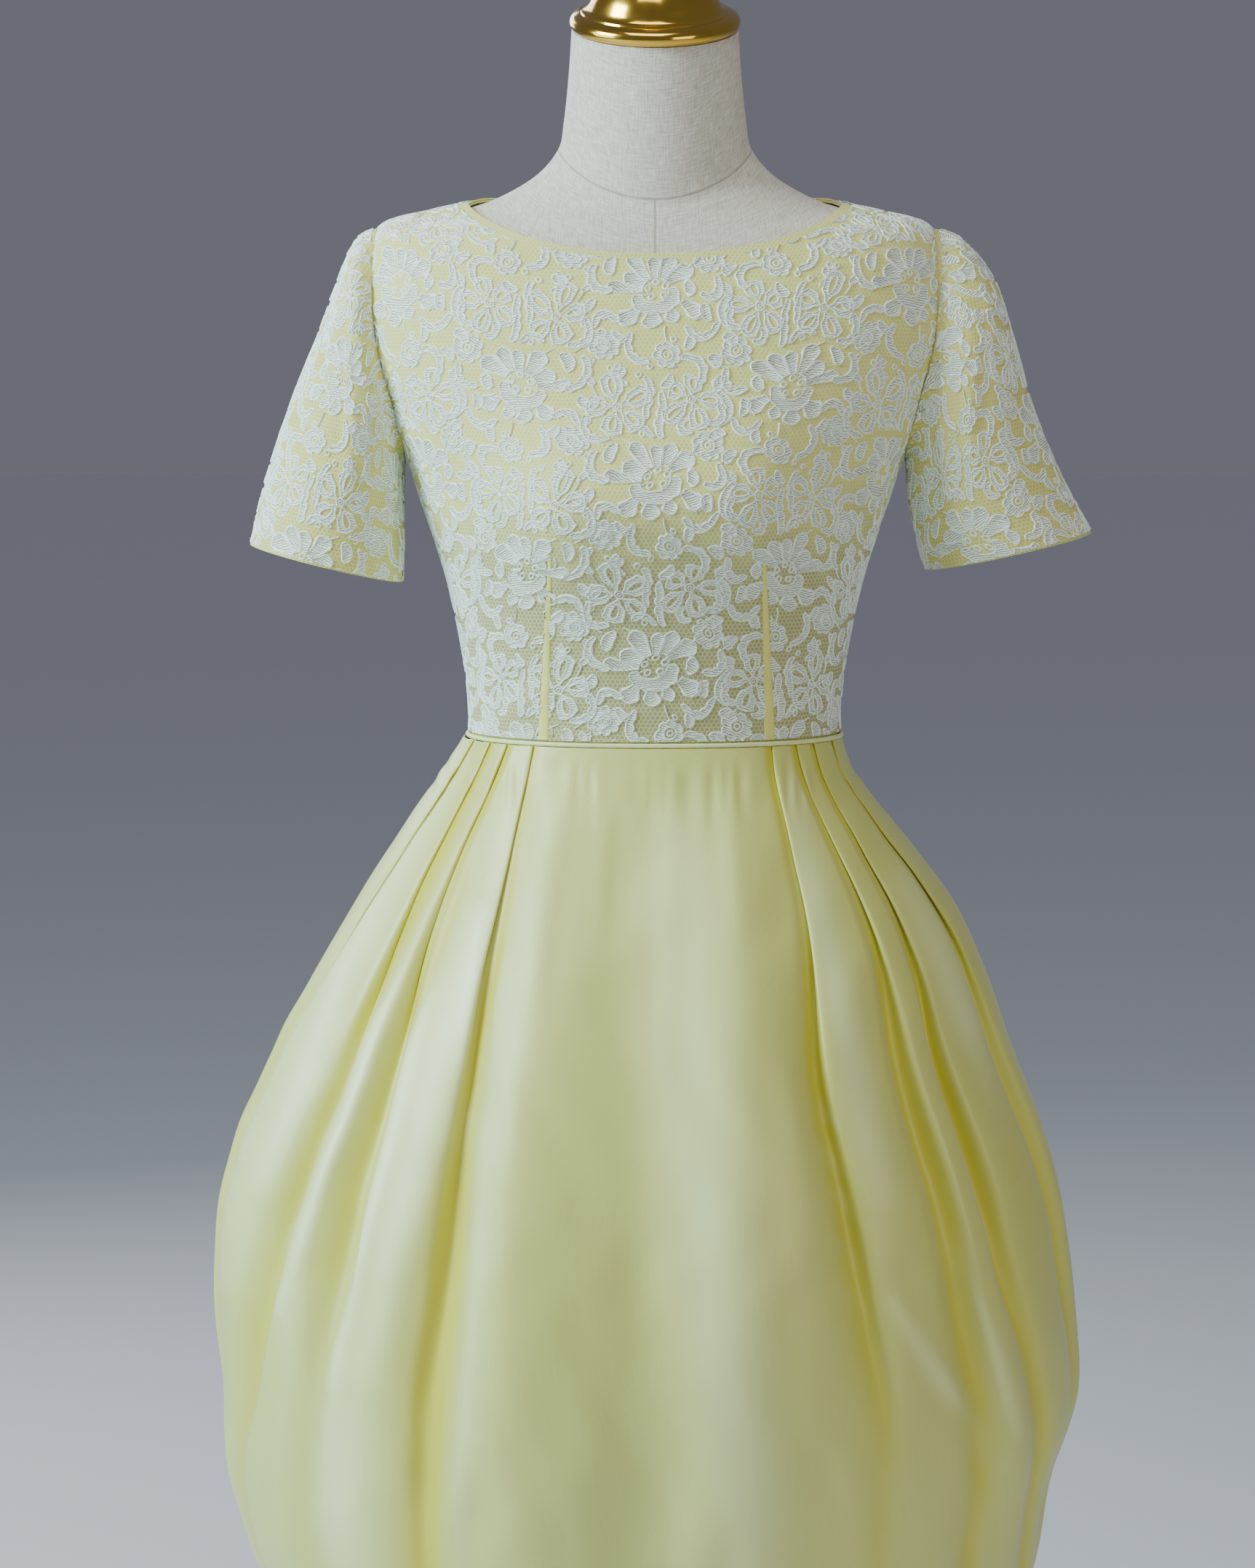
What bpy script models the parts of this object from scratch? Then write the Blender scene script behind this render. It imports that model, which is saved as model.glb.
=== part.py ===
# A 1960s prom dress standing on a limbless linen dress form with a neck cap, pole and round base.
# Metres, +Z up. The dress faces -Y, so the wearer's left is +X. The origin is the middle of the
# base's underside, on the floor. Angles called turn run from the front, 0, to the back, 180
# degrees, and are positive on the wearer's left.
import math
from types import SimpleNamespace

import bmesh
import bpy
from mathutils import Matrix, Vector

# Walls, lifts from the dress form and gaps
CLOTH = 0.0011
CLEAR = 0.0004
FORM_SINK = 0.0014
ARMHOLE_SINK = 0.0016
SEAM = 0.0003
LINING_LIFT = CLEAR
LACE_LIFT = LINING_LIFT + CLOTH + SEAM
FOLD_STEP = 0.0015
SEAM_HALF = 0.0002

# Waist seam
WAIST_Z = 1.0230
PIPING_RADIUS = 0.0015
PIPING_LIFT = LACE_LIFT + PIPING_RADIUS + SEAM
SKIRT_TOP = WAIST_Z - PIPING_RADIUS - SEAM
HEM_Z = 0.400

# Centre back zip
ZIP_HALF_GAP = 0.0027
ZIP_CHAIN_HALF = 0.0022
ZIP_CHAIN_WALL = 0.0014
ZIP_CHAIN_LIFT = 0.0013
ZIP_BOTTOM_Z = 0.920
SLIDER = SimpleNamespace(width=0.0080, depth=0.0022, length=0.0110, corner=0.0018, lift=0.0031)
BRIDGE = SimpleNamespace(inner=0.0012, outer=0.0022, width=0.0024, pivot=0.0011)
PULL = SimpleNamespace(width=0.0066, eye=0.0034, bar=0.0006, hole=0.0028, length=0.0240, wall=0.0012)

# Stand and neck cap
BASE_RADIUS = 0.175
BASE_BOSS_Z = 0.034
POLE_RADIUS = 0.016
POLE_SOCKET = 0.028
SOCKET_DEPTH = 0.022
NECK_TILT = 0.29

# The dress form in rings, from its underside up to the top of the neck. Each ring has its side
# point, front point and back point. A square below 1 fills the ring's corners out, and roll says
# how softly the ring dips between its side and its front or back.
FORM_COLUMNS = ("side_z", "half", "side_y", "front_z", "front_y", "back_z", "back_y", "square", "roll")
FORM_RINGS = {
    "bottom": (0.780, 0.1440, 0.008, 0.780, -0.096, 0.780, 0.110, 0.92, 2),
    "low_hip": (0.800, 0.1545, 0.008, 0.800, -0.105, 0.800, 0.120, 0.92, 2),
    "hip": (0.850, 0.1580, 0.006, 0.850, -0.107, 0.850, 0.121, 0.92, 2),
    "high_hip": (0.935, 0.1385, 0.003, 0.935, -0.099, 0.935, 0.102, 0.92, 2),
    "low_waist": (0.985, 0.1235, 0.001, 0.985, -0.091, 0.985, 0.086, 0.92, 2),
    "waist": (WAIST_Z, 0.1187, 0.000, WAIST_Z, -0.088, WAIST_Z, 0.080, 0.92, 2),
    "low_rib": (1.055, 0.1195, 0.000, 1.055, -0.091, 1.055, 0.083, 0.92, 2),
    "rib": (1.094, 0.1256, 0.000, 1.094, -0.097, 1.094, 0.090, 0.91, 2),
    "under_bust": (1.132, 0.1345, 0.000, 1.132, -0.103, 1.132, 0.097, 0.90, 2),
    "bust": (1.172, 0.1475, 0.000, 1.172, -0.107, 1.172, 0.103, 0.89, 2),
    "underarm": (1.205, 0.1590, 0.000, 1.205, -0.107, 1.205, 0.106, 0.88, 2),
    "armhole_low": (1.240, 0.1740, 0.001, 1.235, -0.103, 1.242, 0.107, 0.88, 2),
    "armhole_mid": (1.280, 0.1870, 0.002, 1.268, -0.095, 1.284, 0.104, 0.88, 2),
    "armhole_high": (1.318, 0.1880, 0.004, 1.298, -0.085, 1.322, 0.095, 0.88, 2),
    "shoulder_tip": (1.350, 0.1775, 0.006, 1.322, -0.075, 1.352, 0.084, 0.88, 2),
    "shoulder_mid": (1.3605, 0.1450, 0.006, 1.340, -0.0685, 1.374, 0.072, 0.90, 2),
    "shoulder_neck": (1.368, 0.1120, 0.004, 1.352, -0.0630, 1.390, 0.062, 0.94, 2),
    "neck_slope": (1.384, 0.0800, 0.001, 1.361, -0.0585, 1.403, 0.055, 0.98, 1.8),
    "neck_base": (1.402, 0.0630, -0.001, 1.369, -0.0550, 1.415, 0.051, 1.0, 1.5),
    "neck_low": (1.420, 0.0590, -0.002, 1.396, -0.0545, 1.434, 0.049, 1.0, 1.2),
    "neck_mid": (1.450, 0.0558, -0.003, 1.433, -0.0545, 1.465, 0.047, 1.0, 1),
    "neck_top": (1.480, 0.0538, -0.003, 1.4651, -0.0545, 1.4942, 0.046, 1.0, 1),
}
RING = {name: index for index, name in enumerate(FORM_RINGS)}

# The bust is two soft swellings with the cloth nearly straight between them.
BUST = SimpleNamespace(height=1.176, side=0.056, fall=0.044, spread=0.050, rise=0.021, dip=0.10)

# How far along the form's rings each edge of the bodice lies
LACE_HEM_RING = RING["waist"] + 0.06
UNDERARM_RING = RING["underarm"]
TIP_RING = RING["shoulder_tip"]
NECK_SIDE_RING = TIP_RING + 1.73
NECK_FRONT_RING = TIP_RING + 0.66
NECK_BACK_RING = TIP_RING + 0.55
ARMHOLE_SPREAD = math.radians(21)
ARMHOLE_ROUND = 2.3
SLEEVE_STEP = 0.0010

# The bell of the skirt, through the outermost cloth, from the waist seam to the hem
SKIRT_COLUMNS = ("z", "half", "shift", "front_y", "back_y", "square")
SKIRT_ROWS = (
    (1.024, 0.1220, -0.001, -0.0915, 0.0835, 0.92),
    (0.998, 0.1353, -0.004, -0.1010, 0.0940, 0.93),
    (0.960, 0.1627, -0.0025, -0.1230, 0.1190, 0.95),
    (0.921, 0.1902, 0.000, -0.1480, 0.1460, 0.97),
    (0.882, 0.2127, -0.001, -0.1720, 0.1710, 0.98),
    (0.824, 0.2383, -0.007, -0.2010, 0.2030, 1.0),
    (0.746, 0.2692, -0.009, -0.2270, 0.2300, 1.0),
    (0.668, 0.2818, -0.008, -0.2390, 0.2430, 1.0),
    (0.590, 0.2826, -0.003, -0.2390, 0.2430, 1.0),
    (0.530, 0.2725, -0.009, -0.2310, 0.2350, 1.0),
    (0.463, 0.2550, -0.004, -0.2160, 0.2200, 1.0),
    (0.398, 0.2290, -0.002, -0.1950, 0.1990, 1.0),
)

# How a pleat opens on its way down: 0 is folded flat, 1 is an open wave. Reach is the wave's
# width and depth its depth, both on the side of the fold that faces the centre.
FOLD_COLUMNS = ("z", "open", "reach", "depth")
FOLD_ROWS = (
    (1.024, 0.00, 0.0060, 0.0030),
    (0.985, 0.05, 0.0090, 0.0045),
    (0.945, 0.16, 0.0140, 0.0075),
    (0.890, 0.32, 0.0210, 0.0120),
    (0.830, 0.52, 0.0280, 0.0160),
    (0.740, 0.74, 0.0350, 0.0180),
    (0.660, 0.92, 0.0380, 0.0140),
    (0.600, 1.00, 0.0380, 0.0100),
    (0.500, 1.00, 0.0360, 0.0070),
    (0.398, 1.00, 0.0320, 0.0050),
)

# Where each folded edge runs: its angle from the centre, in degrees, at these heights. Tuck is
# the cloth folded under at the waist, strength its share of the depth above, low its share below.
FOLD_HEIGHTS = (1.021, 0.945, 0.830, 0.700, 0.620, 0.550, 0.470, 0.398)
FRONT_RIGHT_PLEATS = (
    dict(course=(37.5, 32.0, 30.4, 30.2, 32.5, 33.5, 34.0, 34.0), tuck=0.010, strength=0.85, low=0.35),
    dict(course=(48.8, 45.8, 41.8, 41.6, 45.5, 49.0, 51.0, 52.0), tuck=0.010, strength=1.00, low=0.75),
    dict(course=(58.0, 54.5, 51.5, 55.5, 61.5, 69.5, 73.5, 75.0), tuck=0.009, strength=1.05, low=1.30),
    dict(course=(71.0, 70.0, 78.0, 83.0, 85.0, 86.0, 86.5, 86.8), tuck=0.009, strength=0.60, low=0.50),
)
FRONT_LEFT_PLEATS = (
    dict(course=(36.0, 30.5, 27.3, 29.8, 32.5, 33.5, 34.0, 34.5), tuck=0.010, strength=1.00, low=0.35),
    dict(course=(46.5, 43.6, 41.3, 38.8, 43.5, 50.0, 54.0, 56.0), tuck=0.009, strength=1.05, low=1.00),
    dict(course=(56.0, 52.5, 50.3, 52.5, 60.5, 68.5, 73.0, 75.0), tuck=0.009, strength=0.95, low=1.10),
    dict(course=(70.5, 69.6, 77.0, 83.0, 85.0, 86.0, 86.5, 86.8), tuck=0.010, strength=0.70, low=0.50),
)
BACK_PLEATS = (
    dict(course=(38.0, 34.0, 32.5, 32.5, 34.5, 36.0, 37.0, 37.0), tuck=0.010, strength=0.90, low=0.50),
    dict(course=(51.0, 47.5, 45.0, 46.0, 49.5, 53.0, 56.0, 57.0), tuck=0.010, strength=1.00, low=0.90),
    dict(course=(64.0, 61.5, 60.5, 64.0, 69.0, 73.0, 76.0, 77.0), tuck=0.010, strength=0.90, low=0.90),
)
SKIRT_CUTS = (SKIRT_TOP, 0.993, 0.960, ZIP_BOTTOM_Z, 0.875, 0.820, 0.760, 0.700, 0.635, 0.565, 0.485,
              HEM_Z)

# The sleeves, through the lace's outer face: the line over the arm, the line under it and half the
# depth from front to back, by their share of the way from armhole to cuff
SLEEVE_COLUMNS = ("share", "top_x", "top_z", "under_x", "under_z", "depth")
RIGHT_SLEEVE_ROWS = (
    (0.00, 0.1800, 1.3540, 0.1630, 1.2020, 0.0470),
    (0.10, 0.1935, 1.3450, 0.1640, 1.1960, 0.0500),
    (0.25, 0.2055, 1.3190, 0.1640, 1.1850, 0.0530),
    (0.45, 0.2190, 1.2820, 0.1640, 1.1690, 0.0540),
    (0.65, 0.2350, 1.2430, 0.1640, 1.1520, 0.0535),
    (0.85, 0.2520, 1.1940, 0.1645, 1.1350, 0.0525),
    (1.00, 0.2640, 1.1470, 0.1650, 1.1225, 0.0515),
)
LEFT_SLEEVE_ROWS = (
    (0.00, 0.1805, 1.3540, 0.1630, 1.2020, 0.0470),
    (0.10, 0.1985, 1.3460, 0.1645, 1.1970, 0.0505),
    (0.25, 0.2190, 1.3210, 0.1650, 1.1870, 0.0540),
    (0.45, 0.2320, 1.2840, 0.1665, 1.1730, 0.0555),
    (0.65, 0.2440, 1.2410, 0.1700, 1.1570, 0.0555),
    (0.85, 0.2640, 1.1930, 0.1735, 1.1410, 0.0550),
    (1.00, 0.2850, 1.1550, 0.1775, 1.1305, 0.0545),
)
SLEEVE_CUTS = (0.0, 0.08, 0.2, 0.4, 0.6, 0.8, 1.0)
SLEEVE_SPLIT = 9
SLEEVE_SLIT = 0.004

# Openwork at the middle of the lace's large flowers, in a half drop repeat
FLOWER_PITCH = 0.086
FLOWER_RISE = 0.126
FLOWER_BASE = 0.052
EYELET_RADIUS = 0.0029
EYELET_RING = 0.0048
EYELETS = 3
FLOWER_MARGIN = math.radians(9)
FLOWER_TO_NECK = 0.35
FLOWER_TO_HEM = 0.4
SLEEVE_FLOWERS = ((0.34, 0.24), (0.66, 0.50))


class Table:
    """Rows of named columns, read as smooth curves of the first column."""

    def __init__(self, columns, rows):
        self.columns = columns
        self.rows = sorted(rows)
        self.seen = {}

    def at(self, key):
        if key not in self.seen:
            self.seen[key] = SimpleNamespace(**dict(zip(self.columns, self.read(key))))
        return self.seen[key]

    def read(self, key):
        rows = self.rows
        last = len(rows) - 2
        low = max(0, min(last, sum(row[0] <= key for row in rows) - 1))
        start, end = rows[low], rows[low + 1]
        before = rows[max(low - 1, 0)]
        after = rows[min(low + 2, len(rows) - 1)]
        span = end[0] - start[0]
        part = (key - start[0]) / span
        values = []
        for column in range(len(start)):
            rise_start = (end[column] - before[column]) / (end[0] - before[0]) * span
            rise_end = (after[column] - start[column]) / (after[0] - start[0]) * span
            values.append((2 * part**3 - 3 * part**2 + 1) * start[column]
                          + (part**3 - 2 * part**2 + part) * rise_start
                          + (3 * part**2 - 2 * part**3) * end[column]
                          + (part**3 - part**2) * rise_end)
        return values


FORM = Table(("ring",) + FORM_COLUMNS, [(float(i),) + row for i, row in enumerate(FORM_RINGS.values())])
SKIRT = Table(SKIRT_COLUMNS, SKIRT_ROWS)
FOLD = Table(FOLD_COLUMNS, FOLD_ROWS)


def signed_power(value, power):
    return math.copysign(abs(value) ** power, value)


def form_point(ring, turn):
    """A point of the dress form's skin."""
    row = FORM.at(ring)
    face = abs(math.cos(turn)) ** row.square
    if abs(turn) <= math.pi / 2:
        end_y, end_z = row.front_y, row.front_z
    else:
        end_y, end_z = row.back_y, row.back_z
    x = row.half * signed_power(math.sin(turn), row.square)
    y = row.side_y + (end_y - row.side_y) * face
    z = row.side_z + (end_z - row.side_z) * face**row.roll
    if abs(turn) < math.pi / 2:
        y -= bust_rise(x, z) * face
    return Vector((x, y, z))


def bust_rise(x, z):
    outside = max(abs(x) - BUST.side, 0.0) / BUST.fall
    across = math.exp(-outside**2)
    if abs(x) < BUST.side:
        across -= BUST.dip * (1 - (x / BUST.side) ** 2) ** 2
    return BUST.rise * across * math.exp(-(((z - BUST.height) / BUST.spread) ** 2))


def lifted(ring, turn, lift):
    """A point of the form's skin moved straight out by lift."""
    step = 0.002
    across = form_point(ring, turn + step) - form_point(ring, turn - step)
    up = form_point(ring + step, turn) - form_point(ring - step, turn)
    return form_point(ring, turn) + across.cross(up).normalized() * lift


def form_sink(ring, turn):
    """How far the form lies under the cloth: less up the neck, more inside the sleeves."""
    fade = max(0.0, min(1.0, (RING["neck_base"] - ring) / (RING["neck_base"] - TIP_RING)))
    stump = ARMHOLE_SINK if UNDERARM_RING - 0.5 < ring < TIP_RING + 0.5 else 0.0
    return FORM_SINK * fade + stump * abs(math.sin(turn)) ** 4


def neck_ring(turn):
    middle = NECK_FRONT_RING if abs(turn) < math.pi / 2 else NECK_BACK_RING
    return middle + (NECK_SIDE_RING - middle) * math.sin(turn) ** 2


def seam_turn(reach, square, half_gap):
    """How far in angle a panel's edge stays off a seam line to leave half_gap."""
    return math.asin((half_gap / reach) ** (1 / square))


def edge_turn(ring):
    """The angle from the front or the back at which a bodice panel ends."""
    row = FORM.at(ring)
    edge = math.pi / 2 - seam_turn(0.10, row.square, SEAM_HALF)
    if UNDERARM_RING < ring < TIP_RING:
        way = abs(2 * (ring - UNDERARM_RING) / (TIP_RING - UNDERARM_RING) - 1)
        edge -= ARMHOLE_SPREAD * (1 - way**ARMHOLE_ROUND) ** (1 / ARMHOLE_ROUND)
    return edge


def bodice_rings(bottom):
    """Rings that the bodice's rows follow; the last two shares bend up to the neckline."""
    low = [bottom] + [float(ring) for ring in range(RING["waist"] + 1, UNDERARM_RING)]
    arm_shares = (0.0, 0.02, 0.10, 0.28, 0.5, 0.72, 0.90, 0.98)
    arm = [UNDERARM_RING + (TIP_RING - UNDERARM_RING) * share for share in arm_shares]
    return [(ring, 0.0) for ring in low + arm] + [(TIP_RING, 0.0), (TIP_RING, 0.55), (TIP_RING, 1.0)]


def bodice_point(ring, bend, turn, lift):
    return lifted(ring + bend * (neck_ring(turn) - ring), turn, lift)


def front_turns(ring, count):
    edge = edge_turn(ring)
    return [edge * (2 * i / count - 1) for i in range(count + 1)]


def back_turns(ring, count, side):
    row = FORM.at(ring)
    inner = seam_turn(row.half, row.square, ZIP_HALF_GAP)
    outer = edge_turn(ring)
    turns = [math.pi - inner - (outer - inner) * i / count for i in range(count + 1)]
    return turns[::-1] if side > 0 else [-turn for turn in turns]


def grid_mesh(name, grid, closed=False, flip=False):
    """A mesh through rows of points, each row as long as the next."""
    width = len(grid[0])
    points = [point for row in grid for point in row]
    faces = []
    for j in range(len(grid) - 1):
        for i in range(width if closed else width - 1):
            right = (i + 1) % width
            low, high = j * width, (j + 1) * width
            for face in ((low + i, low + right, high + right), (low + i, high + right, high + i)):
                faces.append(face[::-1] if flip else face)
    mesh = bpy.data.meshes.new(name)
    mesh.from_pydata(points, [], faces)
    return mesh


def wall_mesh(name, inner, outer, closed=False, flip=False):
    """A closed wall between two sheets of matching points."""
    rows, width = len(inner), len(inner[0])
    points = [point for sheet in (inner, outer) for row in sheet for point in row]
    out = rows * width
    cells = width if closed else width - 1

    def corner(j, i):
        return j * width + i % width

    faces = []
    for j in range(rows - 1):
        for i in range(cells):
            a, b, c, d = corner(j, i), corner(j, i + 1), corner(j + 1, i + 1), corner(j + 1, i)
            faces += [(a + out, b + out, c + out), (a + out, c + out, d + out), (c, b, a), (d, c, a)]
    rim = [(corner(0, i), corner(0, i + 1)) for i in range(cells)]
    rim += [(corner(rows - 1, i + 1), corner(rows - 1, i)) for i in range(cells)]
    if not closed:
        rim += [(corner(j, width - 1), corner(j + 1, width - 1)) for j in range(rows - 1)]
        rim += [(corner(j + 1, 0), corner(j, 0)) for j in range(rows - 1)]
    faces += [(b + out, a + out, a, b) for a, b in rim]
    mesh = bpy.data.meshes.new(name)
    mesh.from_pydata(points, [], [face[::-1] if flip else face for face in faces])
    return mesh


def place(name, mesh, material, collection):
    mesh.materials.append(material)
    mesh.shade_smooth()
    mesh.set_sharp_from_angle(angle=math.radians(50))
    item = bpy.data.objects.new(name, mesh)
    collection.objects.link(item)
    return item


def add_wall(item, thickness, offset):
    """Give an open sheet its thickness, the same round sharp folds."""
    wall = item.modifiers.new("wall", "SOLIDIFY")
    wall.thickness = thickness
    wall.offset = offset
    wall.use_even_offset = True


def make_material(name, color, roughness, metallic=0.0):
    material = bpy.data.materials.new(name)
    material.use_nodes = True
    shader = material.node_tree.nodes["Principled BSDF"]
    shader.inputs["Base Color"].default_value = (*color, 1.0)
    shader.inputs["Roughness"].default_value = roughness
    shader.inputs["Metallic"].default_value = metallic
    material.diffuse_color = (*color, 1.0)
    return material


def make_dress_form(parts, linen):
    """The padded torso and neck, one closed body."""
    rings = [float(ring) for ring in range(RING["waist"])]
    rings += [ring for ring, bend in bodice_rings(float(RING["waist"])) if bend == 0.0]
    rings += [float(ring) for ring in range(TIP_RING + 1, RING["neck_top"] + 1)]
    count = 28
    turns = [2 * math.pi * i / count - math.pi for i in range(count)]
    grid = [[lifted(ring, turn, -form_sink(ring, turn)) for turn in turns] for ring in rings]
    mesh = grid_mesh("dress_form_torso", grid, closed=True)
    shape = bmesh.new()
    shape.from_mesh(mesh)
    bmesh.ops.holes_fill(shape, edges=[edge for edge in shape.edges if edge.is_boundary])
    bmesh.ops.recalc_face_normals(shape, faces=shape.faces)
    shape.to_mesh(mesh)
    shape.free()
    place("dress_form_torso", mesh, linen, parts)


def turned(name, profile, material, collection, steps=32):
    """A solid of revolution about Z, from a profile that runs down its outer side."""
    mesh = bpy.data.meshes.new(name)
    mesh.from_pydata([(r, 0.0, z) for r, z in profile], [(i, i + 1) for i in range(len(profile) - 1)], [])
    item = bpy.data.objects.new(name, mesh)
    mesh.materials.append(material)
    collection.objects.link(item)
    screw = item.modifiers.new("turn", "SCREW")
    screw.steps = steps
    screw.render_steps = steps
    screw.use_merge_vertices = True
    screw.merge_threshold = 0.00001
    screw.use_smooth_shade = True
    return item


def arc(centre, radius, start, end, count):
    """Profile points along an arc, by angles from the level, in degrees."""
    angles = [math.radians(start + (end - start) * i / count) for i in range(count + 1)]
    return [(centre[0] + radius * math.cos(a), centre[1] + radius * math.sin(a)) for a in angles]


def make_neck_cap(parts, gold):
    """A stepped cap with a domed top and a ball, tipped forward with the top of the neck."""
    profile = [(0.0, 0.0745)]
    profile += arc((0.0, 0.0620), 0.0125, 75, -55, 5)
    profile += [(0.0080, 0.0470), (0.0100, 0.0445)]
    profile += arc((0.0, -0.0020), 0.0460, 74, 24, 4)
    profile += [(0.0440, 0.0135), (0.0480, 0.0120), (0.0500, 0.0105)]
    profile += arc((0.0500, 0.0048), 0.0052, 70, -60, 3)
    profile += [(0.0515, 0.0), (0.0, 0.0)]
    cap = turned("neck_cap", profile, gold, parts, steps=20)
    top = FORM.at(RING["neck_top"])
    middle_y = (top.front_y + top.back_y) / 2
    seat = Vector((0.0, middle_y, top.side_z + NECK_TILT * (middle_y - top.side_y)))
    tilt = math.atan(NECK_TILT)
    up = Vector((0.0, -math.sin(tilt), math.cos(tilt)))
    cap.location = seat + up * SEAM
    cap.rotation_euler = (tilt, 0.0, 0.0)


def make_stand(parts, metal):
    """A round weighted base and a plain pole that ends under the torso."""
    base = [(0.0, BASE_BOSS_Z), (0.022, BASE_BOSS_Z), (0.024, 0.032), (0.026, 0.022), (0.060, 0.017), (0.120, 0.013),
            (BASE_RADIUS - 0.006, 0.010), (BASE_RADIUS - 0.001, 0.007), (BASE_RADIUS, 0.004),
            (BASE_RADIUS - 0.002, 0.0), (0.0, 0.0)]
    turned("stand_base", base, metal, parts, steps=28)
    pole_foot = BASE_BOSS_Z + SEAM
    pole_head = FORM_RINGS["bottom"][0] - SEAM
    pole = [(0.0, pole_head), (POLE_SOCKET, pole_head), (POLE_SOCKET, pole_head - SOCKET_DEPTH),
            (POLE_RADIUS, pole_head - SOCKET_DEPTH - 0.004), (POLE_RADIUS, pole_foot), (0.0, pole_foot)]
    turned("stand_pole", pole, metal, parts, steps=20)


def make_bodice_layer(parts, kind, bottom, lift, material):
    """One layer of the bodice: a front and two backs, parted at the sides, shoulders and zip."""
    panels = {
        "front": lambda ring: front_turns(ring, 14),
        "back_left": lambda ring: back_turns(ring, 6, 1),
        "back_right": lambda ring: back_turns(ring, 6, -1),
    }
    made = {}
    for panel, turns in panels.items():
        inner, outer = ([[bodice_point(ring, bend, turn, height) for turn in turns(ring)]
                         for ring, bend in bodice_rings(bottom)] for height in (lift, lift + CLOTH))
        name = f"{kind}_{panel}"
        made[panel] = place(name, wall_mesh(name, inner, outer), material, parts)
    return made


def armhole_point(angle):
    """Where the sleeve's outer face starts, by the angle from the shoulder tip over the front."""
    share = (1 + math.cos(angle)) / 2
    ring = UNDERARM_RING + (TIP_RING - UNDERARM_RING) * share
    edge = edge_turn(ring)
    turn = edge if math.sin(angle) >= 0 else math.pi - edge
    point = lifted(ring, turn, LACE_LIFT + CLOTH)
    point.x += SLEEVE_STEP
    return point


def sleeve_skin(table, share, angle):
    """A point of the sleeve's outer face: angle 0 is over the arm, a quarter turn at the front."""
    row = table.at(share)
    start = table.at(0.0)
    point, plain = (Vector(((r.top_x + r.under_x) / 2 + (r.top_x - r.under_x) / 2 * math.cos(angle),
                            -r.depth * math.sin(angle),
                            (r.top_z + r.under_z) / 2 + (r.top_z - r.under_z) / 2 * math.cos(angle)))
                    for r in (row, start))
    return point + (armhole_point(angle) - plain) * max(0.0, 1 - share) ** 6


def sleeve_point(table, side, share, angle, lift):
    """A point inside the sleeve's outer face, lift from the inner face of its lining."""
    step = 0.01
    after = max(share, step)
    along = sleeve_skin(table, after + step, angle) - sleeve_skin(table, after - step, angle)
    around = sleeve_skin(table, share, angle + step) - sleeve_skin(table, share, angle - step)
    inward = along.cross(around).normalized()
    point = sleeve_skin(table, share, angle) + inward * (LACE_LIFT + CLOTH - lift)
    return Vector((point.x * side, point.y, point.z))


def make_sleeve(parts, table, side, word, lining, lace):
    """A lined lace sleeve, an open tube; its lace is in two halves."""
    def sheets(angles, lift):
        return [[[sleeve_point(table, side, share, angle, height) for angle in angles]
                 for share in SLEEVE_CUTS] for height in (lift, lift + CLOTH)]

    name = f"sleeve_lining_{word}"
    inner, outer = sheets([math.pi * i / SLEEVE_SPLIT for i in range(2 * SLEEVE_SPLIT)], LINING_LIFT)
    place(name, wall_mesh(name, inner, outer, closed=True, flip=side < 0), lining, parts)
    halves = {}
    for half, start in (("front", 0.0), ("back", math.pi)):
        angles = [start + math.pi * i / SLEEVE_SPLIT for i in range(SLEEVE_SPLIT + 1)]
        angles[0] += SLEEVE_SLIT
        angles[-1] -= SLEEVE_SLIT
        inner, outer = sheets(angles, LACE_LIFT)
        name = f"sleeve_lace_{word}_{half}"
        halves[half] = place(name, wall_mesh(name, inner, outer, flip=side < 0), lace, parts)
    return halves


def eyelet_cutter(name, centres, cutters):
    """Five sided prisms round each flower's middle, each given with its outward direction."""
    shape = bmesh.new()
    for point, outward in centres:
        square_on = outward.to_track_quat("Z", "Y").to_matrix().to_4x4()
        for i in range(EYELETS):
            spin = 2 * math.pi * i / EYELETS + 0.5
            aside = Vector((EYELET_RING * math.cos(spin), EYELET_RING * math.sin(spin), 0.0))
            matrix = Matrix.Translation(point) @ square_on @ Matrix.Translation(aside)
            bmesh.ops.create_cone(shape, cap_ends=True, segments=5, radius1=EYELET_RADIUS,
                                  radius2=EYELET_RADIUS, depth=0.006, matrix=matrix)
    mesh = bpy.data.meshes.new(name)
    shape.to_mesh(mesh)
    shape.free()
    cutter = bpy.data.objects.new(name, mesh)
    cutter.hide_render = True
    cutter.display_type = "WIRE"
    cutters.objects.link(cutter)
    return cutter


def cut_eyelets(lace, centres, cutters):
    cut = lace.modifiers.new("openwork", "BOOLEAN")
    cut.operation = "DIFFERENCE"
    cut.solver = "EXACT"
    cut.object = eyelet_cutter(lace.name + "_openwork", centres, cutters)


def flower_places(width, height):
    """Flat places of the large flowers: across from the grain line and up from the lower edge."""
    columns = int(width / FLOWER_PITCH) + 1
    rows = int(height / FLOWER_RISE) + 1
    places = []
    for i in range(-columns, columns + 1):
        drop = FLOWER_RISE / 2 if i % 2 else 0.0
        for j in range(rows):
            places.append((i * FLOWER_PITCH, FLOWER_BASE + drop + j * FLOWER_RISE))
    return places


def ring_at_height(height, turn):
    """The ring that meets a height on the form at this angle."""
    low, high = RING["waist"], RING["neck_slope"]
    for _ in range(24):
        middle = (low + high) / 2
        if form_point(middle, turn).z < height:
            low = middle
        else:
            high = middle
    return low


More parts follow.
